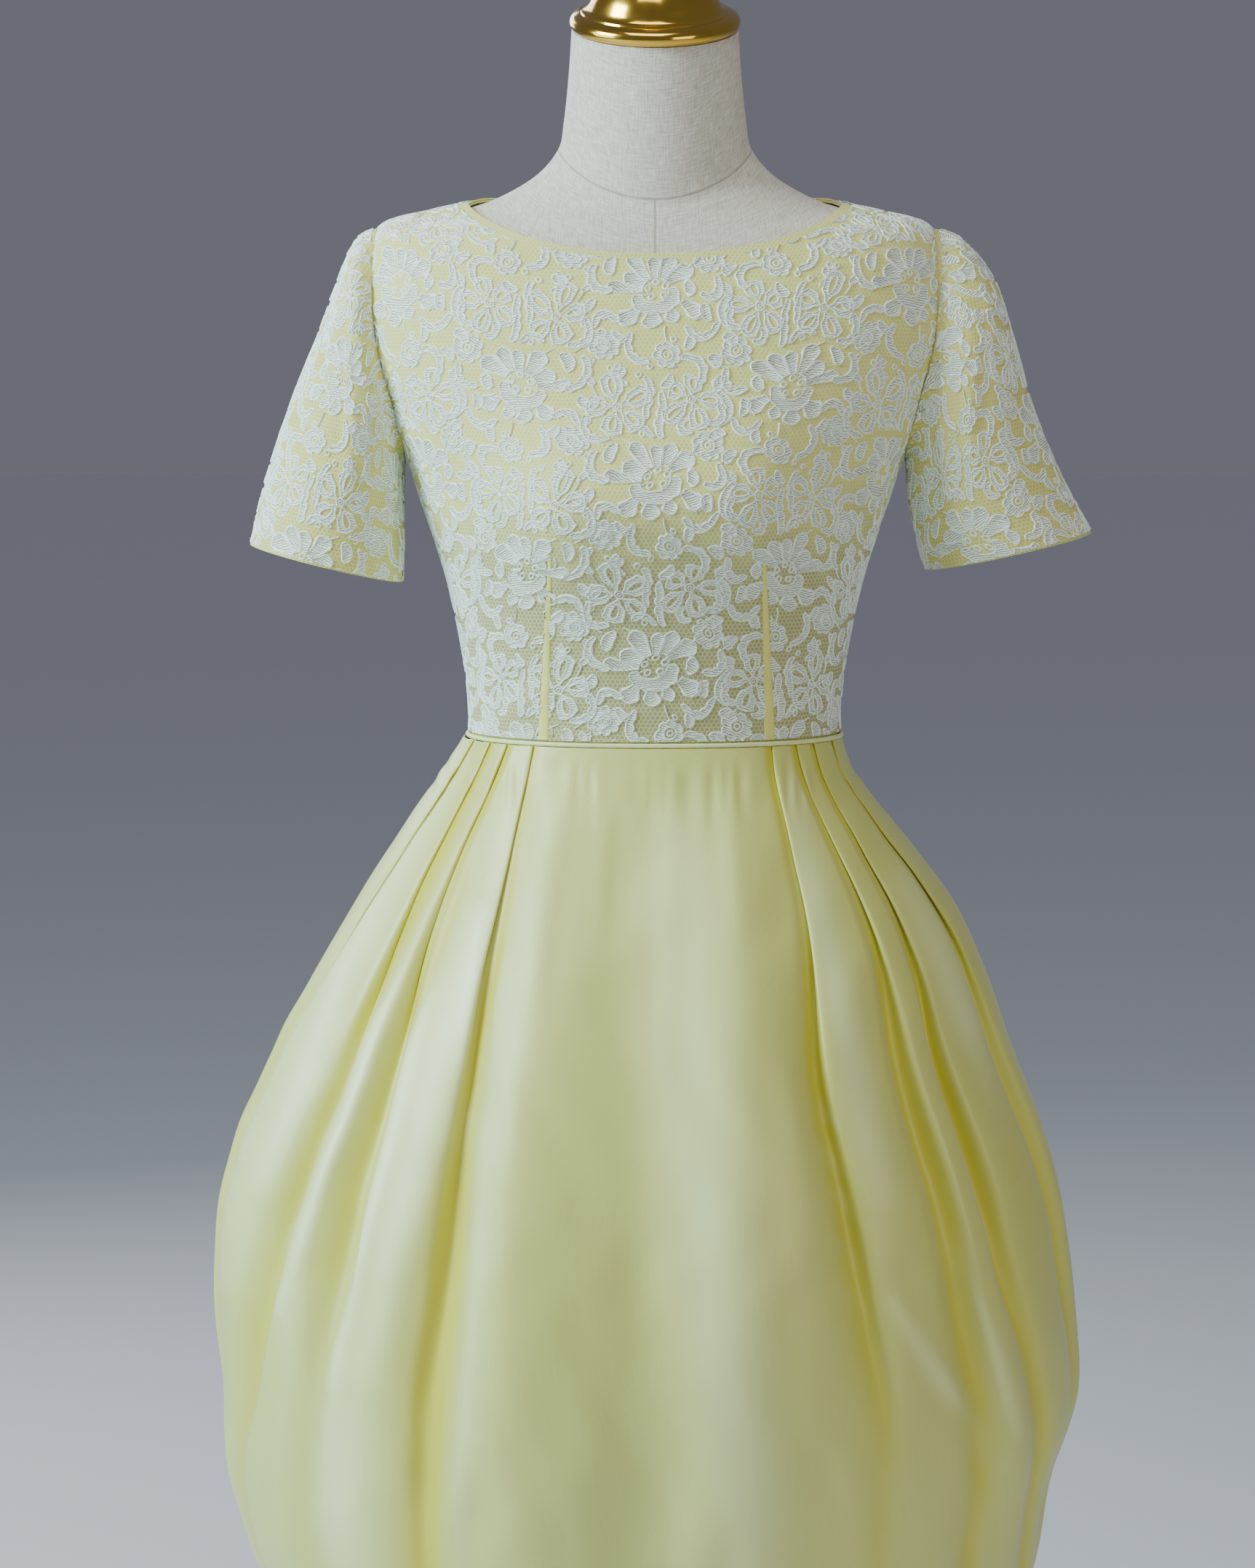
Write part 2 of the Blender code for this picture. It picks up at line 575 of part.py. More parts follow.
def bodice_flowers(centre_turn, side):
    """Middles of the large flowers on a bodice panel, walked out from its grain line.

    Side is 1 or -1 for a panel on one side of its grain line, and 0 for both.
    """
    found = []
    for across, up in flower_places(0.20, 0.36):
        if across * side < 0 or (side and across == 0.0):
            continue
        height = WAIST_Z + up
        turn = centre_turn
        step = math.copysign(0.001, across)
        travelled = 0.0
        before = form_point(ring_at_height(height, turn), turn)
        while travelled < abs(across):
            turn += step / 0.15
            here = form_point(ring_at_height(height, turn), turn)
            travelled += (here - before).length
            before = here
        ring = ring_at_height(height, turn)
        from_centre = abs(turn) if abs(turn) < math.pi / 2 else math.pi - abs(turn)
        if from_centre > edge_turn(ring) - FLOWER_MARGIN or ring > neck_ring(turn) - FLOWER_TO_NECK:
            continue
        if ring < LACE_HEM_RING + FLOWER_TO_HEM:
            continue
        point = lifted(ring, turn, LACE_LIFT)
        found.append((point, (point - lifted(ring, turn, 0.0)).normalized()))
    return found


def sleeve_flowers(table, side, half):
    """Middles of the large flowers on half a sleeve's lace."""
    found = []
    for share, way in SLEEVE_FLOWERS:
        angle = way * math.pi if half == "front" else 2 * math.pi - way * math.pi
        point = sleeve_point(table, side, share, angle, LACE_LIFT)
        out = sleeve_point(table, side, share, angle, LACE_LIFT + 0.001)
        found.append((point, (out - point).normalized()))
    return found


def fold_course(pleat, z):
    table = Table(("z", "turn"), list(zip(FOLD_HEIGHTS, pleat["course"])))
    return math.radians(table.at(z).turn)


def skirt_point(z, turn, depth):
    """A point of the skirt, depth outward of the bell."""
    row = SKIRT.at(z)
    reach = -row.front_y if abs(turn) <= math.pi / 2 else row.back_y
    side, face = math.sin(turn), math.cos(turn)
    out = Vector((signed_power(side, 2 - row.square) / row.half,
                  -signed_power(face, 2 - row.square) / reach, 0.0)).normalized()
    base = Vector((row.shift * side**2 + row.half * signed_power(side, row.square),
                   -reach * signed_power(face, row.square), z))
    return base + out * depth


def turn_rate(z, turn):
    """Metres round the bell for each radian of turn."""
    step = 0.01
    return (skirt_point(z, turn + step, 0.0) - skirt_point(z, turn - step, 0.0)).length / (2 * step)


def pleated_half(pleats, z, back, inner, outer):
    """Angle from the centre and depth of each point of half a section, from the centre out."""
    fold = FOLD.at(z)
    is_open = max(0.0, min(1.0, fold.open))
    edges = [fold_course(pleat, z) for pleat in pleats]
    points = []
    before = 0.0
    for pleat, edge in zip(pleats, edges):
        rate = turn_rate(z, math.pi - edge if back else edge)
        room = (edge - before) * rate
        low = max(0.0, min(1.0, (z - 0.58) / 0.14))
        share = pleat["strength"] * low + pleat["low"] * (1 - low)
        reach = max(0.006, min(fold.reach, 0.62 * room))
        depth = fold.depth * (1 + (share - 1) * is_open)
        tuck = pleat["tuck"]
        closed = ((-0.006, -0.0002), (-0.0004, -2 * FOLD_STEP), (tuck, -2 * FOLD_STEP),
                  (tuck, -FOLD_STEP), (0.0, -FOLD_STEP), (0.0, 0.0))
        wave = ((-reach, -0.12 * depth), (-0.66 * reach, -0.72 * depth), (-0.42 * reach, -depth),
                (-0.20 * reach, -0.86 * depth), (-0.05 * reach, -0.34 * depth), (0.0, 0.0))
        for (s0, d0), (s1, d1) in zip(closed, wave):
            along = s0 + (s1 - s0) * is_open
            points.append((edge + along / rate, d0 + (d1 - d0) * is_open))
        before = edge
    crest = 0.10 * fold.depth * is_open
    filled = [(inner, 0.0)]
    first = points[0][0]
    filled += [(inner + (first - inner) * part, crest * part) for part in (0.45, 0.80)]
    for k in range(len(pleats)):
        filled += points[6 * k:6 * k + 6]
        ridge = points[6 * k + 5][0]
        following = points[6 * k + 6][0] if k + 1 < len(pleats) else outer
        filled.append(((ridge + following) / 2, crest))
    filled.append((outer, crest * 0.5))
    return filled


def skirt_front_section(z):
    row = SKIRT.at(z)
    outer = math.pi / 2 - seam_turn(-row.front_y, row.square, SEAM_HALF)
    right = pleated_half(FRONT_RIGHT_PLEATS, z, False, 0.0, outer)
    left = pleated_half(FRONT_LEFT_PLEATS, z, False, 0.0, outer)
    return [(-turn, depth) for turn, depth in right[:0:-1]] + left


def skirt_back_section(z, side):
    row = SKIRT.at(z)
    half_gap = ZIP_HALF_GAP if z >= ZIP_BOTTOM_Z else SEAM_HALF
    inner = seam_turn(row.half, row.square, half_gap)
    outer = math.pi / 2 - seam_turn(row.back_y, row.square, SEAM_HALF)
    half = pleated_half(BACK_PLEATS, z, True, inner, outer)
    if side > 0:
        return [(math.pi - turn, depth) for turn, depth in half[::-1]]
    return [(turn - math.pi, depth) for turn, depth in half]


def make_skirt(parts, satin):
    """The pleated skirt: a front and two backs, parted at the sides and the centre back."""
    panels = {
        "skirt_front": skirt_front_section,
        "skirt_back_left": lambda z: skirt_back_section(z, 1),
        "skirt_back_right": lambda z: skirt_back_section(z, -1),
    }
    for name, section in panels.items():
        grid = [[skirt_point(z, turn, depth) for turn, depth in section(z)] for z in SKIRT_CUTS]
        panel = place(name, grid_mesh(name, grid, flip=True), satin, parts)
        add_wall(panel, CLOTH, 0.0)


def make_piping(parts, satin):
    """A corded piping set in the waist seam, open at the zip."""
    opening = seam_turn(0.12, 0.92, ZIP_HALF_GAP + 0.0005)
    count = 34
    curve = bpy.data.curves.new("waist_piping", "CURVE")
    curve.dimensions = "3D"
    curve.bevel_depth = PIPING_RADIUS
    curve.bevel_resolution = 1
    curve.use_fill_caps = True
    spline = curve.splines.new("POLY")
    spline.points.add(count)
    for i in range(count + 1):
        turn = (math.pi - opening) * (2 * i / count - 1)
        point = lifted(RING["waist"], turn, PIPING_LIFT)
        spline.points[i].co = (point.x, point.y, WAIST_Z, 1.0)
    curve.materials.append(satin)
    item = bpy.data.objects.new("waist_piping", curve)
    parts.objects.link(item)


def zip_line():
    """The chain's middle line down the centre back, as (y, z), from the neck to its lower stop."""
    line = []
    top = NECK_BACK_RING - 0.10
    for i in range(15):
        ring = top + (RING["waist"] + 0.25 - top) * i / 14
        point = lifted(ring, math.pi, ZIP_CHAIN_LIFT)
        line.append((point.y, point.z))
    for z in (1.006, 0.986, 0.960, ZIP_BOTTOM_Z + 0.006):
        line.append((SKIRT.at(z).back_y - ZIP_CHAIN_WALL / 2, z))
    return line


def make_zip_chain(parts, metal):
    """Tape and teeth, a narrow strip in the gap between the back panels."""
    grid = [[Vector((x, y, z)) for x in (ZIP_CHAIN_HALF, -ZIP_CHAIN_HALF)] for y, z in zip_line()]
    mesh = grid_mesh("zip_chain", grid, flip=True)
    add_wall(place("zip_chain", mesh, metal, parts), ZIP_CHAIN_WALL, 1.0)


def slider_frame():
    """The matrix that stands local Y out of the centre back and local Z up along it."""
    ring = NECK_BACK_RING - 0.42
    point = form_point(ring, math.pi)
    up = (form_point(ring + 0.01, math.pi) - form_point(ring - 0.01, math.pi)).normalized()
    outward = up.cross(Vector((1.0, 0.0, 0.0))).normalized()
    if outward.y < 0:
        outward.negate()
    matrix = Matrix((Vector((1.0, 0.0, 0.0)), outward, up)).transposed().to_4x4()
    matrix.translation = point
    return matrix


def flat_outline(name, loops, half_depth):
    """A mesh from flat outlines, extruded by half_depth each way; a second loop is a hole."""
    curve = bpy.data.curves.new(name, "CURVE")
    curve.dimensions = "2D"
    curve.fill_mode = "BOTH"
    curve.extrude = half_depth
    for loop in loops:
        spline = curve.splines.new("POLY")
        spline.points.add(len(loop) - 1)
        spline.use_cyclic_u = True
        for point, (x, y) in zip(spline.points, loop):
            point.co = (x, y, 0.0, 1.0)
    holder = bpy.data.objects.new(name, curve)
    bpy.context.scene.collection.objects.link(holder)
    graph = bpy.context.evaluated_depsgraph_get()
    mesh = bpy.data.meshes.new_from_object(holder.evaluated_get(graph))
    bpy.data.objects.remove(holder)
    bpy.data.curves.remove(curve)
    shape = bmesh.new()
    shape.from_mesh(mesh)
    bmesh.ops.remove_doubles(shape, verts=shape.verts, dist=0.000001)
    bmesh.ops.recalc_face_normals(shape, faces=shape.faces)
    shape.to_mesh(mesh)
    shape.free()
    return mesh


def make_slider(parts, cutters, metal):
    """The slider's body with the bridge that holds the pull; the bridge turns about local X."""
    frame = slider_frame()
    shape = bmesh.new()
    size = Matrix.Diagonal((SLIDER.width, SLIDER.depth, SLIDER.length, 1.0))
    middle = Matrix.Translation((0.0, SLIDER.lift + SLIDER.depth / 2, 0.0))
    bmesh.ops.create_cube(shape, size=1.0, matrix=middle @ size)
    upright = [edge for edge in shape.edges
               if abs(edge.verts[0].co.y - edge.verts[1].co.y) > SLIDER.depth / 2]
    bmesh.ops.bevel(shape, geom=upright, offset=SLIDER.corner, segments=3, affect="EDGES", profile=0.5)
    mesh = bpy.data.meshes.new("zip_slider")
    shape.to_mesh(mesh)
    shape.free()
    slider = place("zip_slider", mesh, metal, parts)
    slider.matrix_world = frame

    pivot = SLIDER.lift + SLIDER.depth + BRIDGE.pivot
    foot = SLIDER.lift + SLIDER.depth - 0.0006
    outer = [(pivot + y, z) for y, z in arc((0.0, 0.0), BRIDGE.outer, -90, 90, 8)]
    inner = [(pivot + y, z) for y, z in arc((0.0, 0.0), BRIDGE.inner, 90, -90, 8)]
    loop = [(foot, -BRIDGE.outer)] + outer + [(foot, BRIDGE.outer), (foot, BRIDGE.inner)] + inner
    loop.append((foot, -BRIDGE.inner))
    bridge_mesh = flat_outline("zip_bridge", [loop], BRIDGE.width / 2)
    bridge = bpy.data.objects.new("zip_bridge", bridge_mesh)
    bridge.hide_render = True
    bridge.display_type = "WIRE"
    cutters.objects.link(bridge)
    # The outline's plane becomes local YZ, with its depth along local X
    bridge.matrix_world = frame @ Matrix(((0, 0, 1, 0), (1, 0, 0, 0), (0, 1, 0, 0), (0, 0, 0, 1)))
    union = slider.modifiers.new("bridge", "BOOLEAN")
    union.operation = "UNION"
    union.solver = "EXACT"
    union.object = bridge
    return frame, pivot


def make_pull(parts, metal, frame, pivot):
    """The flat pull tab with its eye round the bridge, its origin on the pivot."""
    half = PULL.width / 2
    tip = -PULL.length
    outline = [(-half, PULL.bar), (half, PULL.bar), (half, tip * 0.75), (half * 0.72, tip * 0.96),
               (half * 0.4, tip), (-half * 0.4, tip), (-half * 0.72, tip * 0.96), (-half, tip * 0.75)]
    eye = PULL.eye / 2
    hole = [(-eye, -PULL.bar), (eye, -PULL.bar), (eye, -PULL.hole), (-eye, -PULL.hole)]
    mesh = flat_outline("zip_pull", [outline, hole], PULL.wall / 2)
    pull = place("zip_pull", mesh, metal, parts)
    # The outline's plane becomes local XZ, with its depth along local Y
    lay = Matrix(((1, 0, 0, 0), (0, 0, -1, 0), (0, 1, 0, 0), (0, 0, 0, 1)))
    pull.matrix_world = frame @ Matrix.Translation((0.0, pivot, 0.0)) @ lay


def new_collection(name):
    collection = bpy.data.collections.new(name)
    bpy.context.scene.collection.children.link(collection)
    return collection


def main():
    for item in list(bpy.data.objects):
        bpy.data.objects.remove(item)
    parts = new_collection("prom_dress_on_form")
    cutters = new_collection("cutters")

    linen = make_material("form_linen", (0.66, 0.62, 0.57), 0.85)
    gold = make_material("cap_gold", (0.83, 0.63, 0.20), 0.12, 1.0)
    stand_metal = make_material("stand_gold", (0.80, 0.60, 0.22), 0.18, 1.0)
    taffeta = make_material("lining_taffeta", (0.87, 0.80, 0.45), 0.55)
    lace_white = make_material("lace_nylon", (0.90, 0.90, 0.84), 0.70)
    satin = make_material("skirt_satin", (0.84, 0.80, 0.46), 0.35)
    zip_metal = make_material("zip_metal", (0.72, 0.70, 0.64), 0.30, 1.0)

    make_dress_form(parts, linen)
    make_neck_cap(parts, gold)
    make_stand(parts, stand_metal)
    make_bodice_layer(parts, "lining", RING["waist"], LINING_LIFT, taffeta)
    lace = make_bodice_layer(parts, "lace", LACE_HEM_RING, LACE_LIFT, lace_white)
    cut_eyelets(lace["front"], bodice_flowers(0.0, 0), cutters)
    # Walked from the back centre, a growing angle goes to the wearer's right
    cut_eyelets(lace["back_left"], bodice_flowers(math.pi, -1), cutters)
    cut_eyelets(lace["back_right"], bodice_flowers(-math.pi, 1), cutters)

    for side, word, rows in ((1, "left", LEFT_SLEEVE_ROWS), (-1, "right", RIGHT_SLEEVE_ROWS)):
        table = Table(SLEEVE_COLUMNS, rows)
        halves = make_sleeve(parts, table, side, word, taffeta, lace_white)
        for half, item in halves.items():
            cut_eyelets(item, sleeve_flowers(table, side, half), cutters)

    make_skirt(parts, satin)
    make_piping(parts, satin)
    make_zip_chain(parts, zip_metal)
    frame, pivot = make_slider(parts, cutters, zip_metal)
    make_pull(parts, zip_metal, frame, pivot)


main()
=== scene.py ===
# A 1960s prom dress on its linen dress form, finished over the frame.
# Metres, +Z up; the dress faces -Y and the wearer's left is +X.
import math
import bmesh
import bpy
import numpy as np
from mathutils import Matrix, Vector


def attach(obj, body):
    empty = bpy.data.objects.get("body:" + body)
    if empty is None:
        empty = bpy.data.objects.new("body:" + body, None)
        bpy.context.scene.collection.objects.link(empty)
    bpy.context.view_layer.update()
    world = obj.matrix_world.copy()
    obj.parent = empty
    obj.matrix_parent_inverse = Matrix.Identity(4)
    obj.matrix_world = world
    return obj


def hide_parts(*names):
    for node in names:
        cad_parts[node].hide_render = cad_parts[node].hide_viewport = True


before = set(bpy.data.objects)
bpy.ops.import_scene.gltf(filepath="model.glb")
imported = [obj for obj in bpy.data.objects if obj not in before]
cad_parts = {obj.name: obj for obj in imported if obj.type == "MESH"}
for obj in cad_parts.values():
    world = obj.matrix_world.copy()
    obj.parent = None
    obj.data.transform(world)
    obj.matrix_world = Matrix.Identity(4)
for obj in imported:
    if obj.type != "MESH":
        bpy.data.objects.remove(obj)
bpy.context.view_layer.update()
dressBody = "dress_and_form"
quarterTurn, halfTurn, fullTurn = math.pi / 2, math.pi, 2 * math.pi
print("frame loaded")


# Small helpers for materials: colours are written as sRGB hex
def toLinear(hexColor):
    values = [int(hexColor[i:i + 2], 16) / 255 for i in (1, 3, 5)]
    return tuple(v / 12.92 if v <= 0.04045 else ((v + 0.055) / 1.055) ** 2.4 for v in values) + (1.0,)


def setUp(tree, node, settings):
    # Each setting is a source to link to an input, a value or hex colour for an input, or an option
    for name, value in settings.items():
        if isinstance(value, bpy.types.Node):
            value = value.outputs[2 if value.bl_idname == "ShaderNodeMix" else 0]
        if isinstance(value, bpy.types.NodeSocket):
            tree.links.new(value, node.inputs[name])
        elif isinstance(name, int) or name in node.inputs:
            node.inputs[name].default_value = toLinear(value) if isinstance(value, str) else value
        else:
            setattr(node, name, value)


def addNode(tree, kind, settings):
    node = tree.nodes.new("ShaderNode" + kind)
    if kind == "Mix":
        node.data_type = "RGBA"
    setUp(tree, node, settings)
    return node


def newMaterial(name, shader):
    material = bpy.data.materials.new(name)
    material.use_nodes = True
    surface = material.node_tree.nodes["Principled BSDF"]
    setUp(material.node_tree, surface, shader)
    return material, material.node_tree, surface


def newCloth(name, roughness, specular, sheen, sheenSpread, more=None):
    # Cloth reads its place on the flat cut, in millimetres
    material, tree, surface = newMaterial(name, {
        "Roughness": roughness, "Specular IOR Level": specular, "Sheen Weight": sheen,
        "Sheen Roughness": sheenSpread, **(more or {})})
    return material, tree, surface, addNode(tree, "UVMap", {"uv_map": "flat"})


# Small helpers for meshes
def pickOnly(piece=None):
    for item in bpy.context.selected_objects:
        item.select_set(False)
    if piece:
        piece.select_set(True)
        bpy.context.view_layer.objects.active = piece


def declare(piece, nodes=()):
    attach(piece, dressBody)
    if nodes:
        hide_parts(*nodes)


def newPiece(name, points, faces, material, nodes=(), uv=None, marks=None):
    mesh = bpy.data.meshes.new(name)
    mesh.from_pydata(np.reshape(points, (-1, 3)).tolist(), [], [[int(k) for k in face] for face in faces])
    corner = np.empty(len(mesh.loops), int)
    mesh.loops.foreach_get("vertex_index", corner)
    if uv is not None:
        layer = mesh.uv_layers.new(name="flat")
        layer.data.foreach_set("uv", np.reshape(uv, (-1, 2)).astype(float)[corner].ravel())
    for mark, values in (marks or {}).items():
        mesh.attributes.new(mark, "FLOAT", "POINT").data.foreach_set("value", np.ravel(values).astype(float))
    mesh.materials.append(material)
    mesh.shade_smooth()
    piece = bpy.data.objects.new(name, mesh)
    bpy.context.scene.collection.objects.link(piece)
    declare(piece, nodes)
    return piece


def closeMesh(piece, weld=False, fill=False):
    shape = bmesh.new()
    shape.from_mesh(piece.data)
    if weld:
        bmesh.ops.remove_doubles(shape, verts=shape.verts, dist=0.00002)
    if fill:
        bmesh.ops.holes_fill(shape, edges=[edge for edge in shape.edges if edge.is_boundary])
        bmesh.ops.recalc_face_normals(shape, faces=shape.faces)
    shape.to_mesh(piece.data)
    shape.free()


def giveWall(piece, thickness, offset):
    pickOnly(piece)
    wall = piece.modifiers.new("wall", "SOLIDIFY")
    wall.thickness = thickness
    wall.offset = offset
    bpy.ops.object.modifier_apply(modifier="wall")
    piece.data.shade_smooth()
    piece.data.set_sharp_from_angle(angle=math.radians(60))


def gridFaces(rows, columns, closed=False, flip=False):
    j, i = np.meshgrid(np.arange(rows - 1), np.arange(columns if closed else columns - 1), indexing="ij")
    right = (i + 1) % columns
    faces = np.stack([j * columns + i, j * columns + right, (j + 1) * columns + right,
                      (j + 1) * columns + i], axis=-1).reshape(-1, 4)
    return faces[:, ::-1] if flip else faces


def thousandths(rows, plain=0):
    # Tables are in millimetres, or in thousandths of a share, but for their last plain columns
    return [tuple(v / 1000 for v in row[:len(row) - plain]) + tuple(row[len(row) - plain:]) for row in rows]


def curveThrough(rows, keys):
    # Smooth values between the rows of a table whose first column is the key
    rows = np.array(sorted(rows), float)
    keys = np.asarray(keys, float)
    place, value = rows[:, 0], rows[:, 1:]
    slope = np.empty_like(value)
    slope[1:-1] = (value[2:] - value[:-2]) / (place[2:] - place[:-2])[:, None]
    slope[0] = (value[1] - value[0]) / (place[1] - place[0])
    slope[-1] = (value[-1] - value[-2]) / (place[-1] - place[-2])
    low = np.clip(np.searchsorted(place, keys, side="right") - 1, 0, len(place) - 2)
    span = (place[low + 1] - place[low])[..., None]
    part = (keys - place[low])[..., None] / span
    found = ((2 * part**3 - 3 * part**2 + 1) * value[low] + (part**3 - 2 * part**2 + part) * span * slope[low]
             + (3 * part**2 - 2 * part**3) * value[low + 1] + (part**3 - part**2) * span * slope[low + 1])
    return np.moveaxis(found, -1, 0)


def sideBySide(*columns):
    return np.stack(np.broadcast_arrays(*columns), axis=-1)


def unit(vectors):
    return vectors / np.maximum(np.linalg.norm(vectors, axis=-1, keepdims=True), 1e-12)


def lengthAlong(points, axis=0):
    steps = np.linalg.norm(np.diff(points, axis=axis), axis=-1)
    return np.concatenate([np.zeros_like(np.take(steps, [0], axis)), np.cumsum(steps, axis=axis)], axis=axis)


def flatTurn(flat, faces):
    # Above zero where the faces run anticlockwise on the flat cloth
    a, b, c, d = (flat[faces[:, k]] for k in range(4))
    return ((c - a)[:, 0] * (d - b)[:, 1] - (c - a)[:, 1] * (d - b)[:, 0]).sum()


def lineShare(line, across, along):
    # How far along a line from end to end each place is, and how far away from it
    across0, along0, across1, along1 = line
    runX, runY = across1 - across0, along1 - along0
    part = ((across - across0) * runX + (along - along0) * runY) / (runX**2 + runY**2)

    def away(part):
        return np.hypot(across - across0 - part * runX, along - along0 - part * runY)

    return part, away


def softRise(creases, across, along):
    # Soft ridges and troughs along straight lines, each tapering to nothing at its ends
    rise = np.zeros(np.broadcast(across, along).shape)
    for *line, width, height in creases:
        part, away = lineShare(line, across, along)
        held = np.clip(part, 0, 1)
        rise = rise + height * np.exp(-(away(held) / width) ** 2) * (4 * held * (1 - held)) ** 0.7
    return rise


# The dress form's rings, from its underside to the top of the neck: side point, front point and
# back point, how square the ring is and how softly it dips
formRings = thousandths([
    (780, 144, 8, 780, -96, 780, 110, 0.92, 2), (800, 154.5, 8, 800, -105, 800, 120, 0.92, 2),
    (850, 158, 6, 850, -107, 850, 121, 0.92, 2), (935, 138.5, 3, 935, -99, 935, 102, 0.92, 2),
    (985, 123.5, 1, 985, -91, 985, 86, 0.92, 2), (1023, 118.7, 0, 1023, -88, 1023, 80, 0.92, 2),
    (1055, 119.5, 0, 1055, -91, 1055, 83, 0.92, 2), (1094, 125.6, 0, 1094, -97, 1094, 90, 0.91, 2),
    (1132, 134.5, 0, 1132, -103, 1132, 97, 0.9, 2), (1172, 147.5, 0, 1172, -107, 1172, 103, 0.89, 2),
    (1205, 159, 0, 1205, -107, 1205, 106, 0.88, 2), (1240, 174, 1, 1235, -103, 1242, 107, 0.88, 2),
    (1280, 187, 2, 1268, -95, 1284, 104, 0.88, 2), (1318, 188, 4, 1298, -85, 1322, 95, 0.88, 2),
    (1350, 177.5, 6, 1322, -75, 1352, 84, 0.88, 2), (1360.5, 145, 6, 1340, -68.5, 1374, 72, 0.9, 2),
    (1368, 112, 4, 1352, -63, 1390, 62, 0.94, 2), (1384, 80, 1, 1361, -58.5, 1403, 55, 0.98, 1.8),
    (1402, 63, -1, 1369, -55, 1415, 51, 1, 1.5), (1420, 59, -2, 1396, -54.5, 1434, 49, 1, 1.2),
    (1450, 55.8, -3, 1433, -54.5, 1465, 47, 1, 1), (1480, 53.8, -3, 1465.1, -54.5, 1494.2, 46, 1, 1)], 2)
formTable = [(i,) + row for i, row in enumerate(formRings)]
bust = {"height": 1.176, "side": 0.056, "fall": 0.044, "spread": 0.050, "rise": 0.021, "dip": 0.10}
# The bodice's lines, as rings of the form, and its layers, in metres
bodice = {
    "waist": 5.0, "underarm": 10.0, "tip": 14.0, "laceHem": 5.06, "neckSide": 15.73, "neckFront": 14.66,
    "neckBack": 14.55, "armholeSpread": math.radians(21), "armholeRound": 2.3, "waistHeight": 1.023,
    "halfRound": 0.125, "seamHalf": 0.0002, "liningLift": 0.0004, "laceLift": 0.0018, "cloth": 0.0011,
    "face": 0.0029, "zipHalfGap": 0.0027}


def bustRise(x, z):
    outside = np.maximum(np.abs(x) - bust["side"], 0) / bust["fall"]
    across = np.exp(-outside**2)
    across = across - np.where(np.abs(x) < bust["side"], bust["dip"] * (1 - (x / bust["side"]) ** 2) ** 2, 0)
    return bust["rise"] * across * np.exp(-(((z - bust["height"]) / bust["spread"]) ** 2))


def formPoint(ring, turn):
    sideZ, wide, sideY, frontZ, frontY, backZ, backY, square, roll = curveThrough(formTable, ring)
    face = np.abs(np.cos(turn)) ** square
    isFront = np.abs(turn) <= quarterTurn
    x = wide * np.sign(np.sin(turn)) * np.abs(np.sin(turn)) ** square
    y = sideY + (np.where(isFront, frontY, backY) - sideY) * face
    z = sideZ + (np.where(isFront, frontZ, backZ) - sideZ) * face**roll
    y = y - np.where(isFront, bustRise(x, z) * face, 0)
    return sideBySide(x, y, z)


def liftedPoint(ring, turn, lift):
    step = 0.002
    across = formPoint(ring, turn + step) - formPoint(ring, turn - step)
    up = formPoint(ring + step, turn) - formPoint(ring - step, turn)
    return formPoint(ring, turn) + unit(np.cross(across, up)) * np.asarray(lift)[..., None]


def neckRing(turn):
    middle = np.where(np.abs(turn) < quarterTurn, bodice["neckFront"], bodice["neckBack"])
    return middle + (bodice["neckSide"] - middle) * np.sin(turn) ** 2


def seamTurn(reach, square, halfGap):
    return np.arcsin((halfGap / reach) ** (1 / square))


def edgeTurn(ring):
    # The angle from the front or the back at which a bodice panel ends
    ring = np.asarray(ring, float)
    square = curveThrough(formTable, ring)[7]
    edge = quarterTurn - seamTurn(0.10, square, bodice["seamHalf"])
    way = np.abs(2 * (ring - bodice["underarm"]) / (bodice["tip"] - bodice["underarm"]) - 1)
    power = bodice["armholeRound"]
    dip = bodice["armholeSpread"] * np.maximum(1 - way**power, 0) ** (1 / power)
    return edge - np.where(way < 1, dip, 0)


# Soft creases of the bodice: round from the front or back and up from the waist, where each starts
# and ends, its width and its rise
frontCreases = thousandths([
    (-118, 12, -60, 40, 6, 1), (120, 10, 66, 34, 6, 1.1), (-120, 34, -70, 52, 6, -0.8),
    (118, 30, 72, 50, 6, -0.8), (-150, 150, -85, 118, 9, 1.3), (152, 150, 90, 122, 9, 1.3),
    (-155, 172, -90, 150, 8, -1.1), (155, 176, 86, 150, 8, -1), (-165, 205, -110, 178, 9, 1.2),
    (165, 208, 108, 182, 9, 1.2), (-150, 250, -105, 215, 10, 1), (152, 246, 108, 214, 10, 0.9),
    (-30, 18, 40, 22, 7, 0.7), (-60, 300, 20, 292, 9, 0.7), (-64, 0, -60, 120, 4, -0.6),
    (66, 0, 62, 120, 4, -0.6)])
backCreases = thousandths([
    (20, 14, 90, 30, 7, 1.1), (30, 40, 100, 62, 8, 0.9), (110, 150, 150, 190, 9, 1.2),
    (100, 200, 150, 230, 9, -1), (10, 270, 80, 285, 10, 0.8), (75, 0, 70, 110, 4, -0.6)])


def bodicePoint(ring, turn, lift):
    up = curveThrough(formTable, np.clip(ring, 0, len(formRings) - 1))[0] - bodice["waistHeight"]
    fromBack = np.abs(halfTurn - np.abs(turn)) * bodice["halfRound"]
    crease = np.where(np.abs(turn) <= quarterTurn, softRise(frontCreases, turn * bodice["halfRound"], up),
                      softRise(backCreases, fromBack, up))
    return liftedPoint(ring, turn, lift + np.maximum(crease, -0.0008))


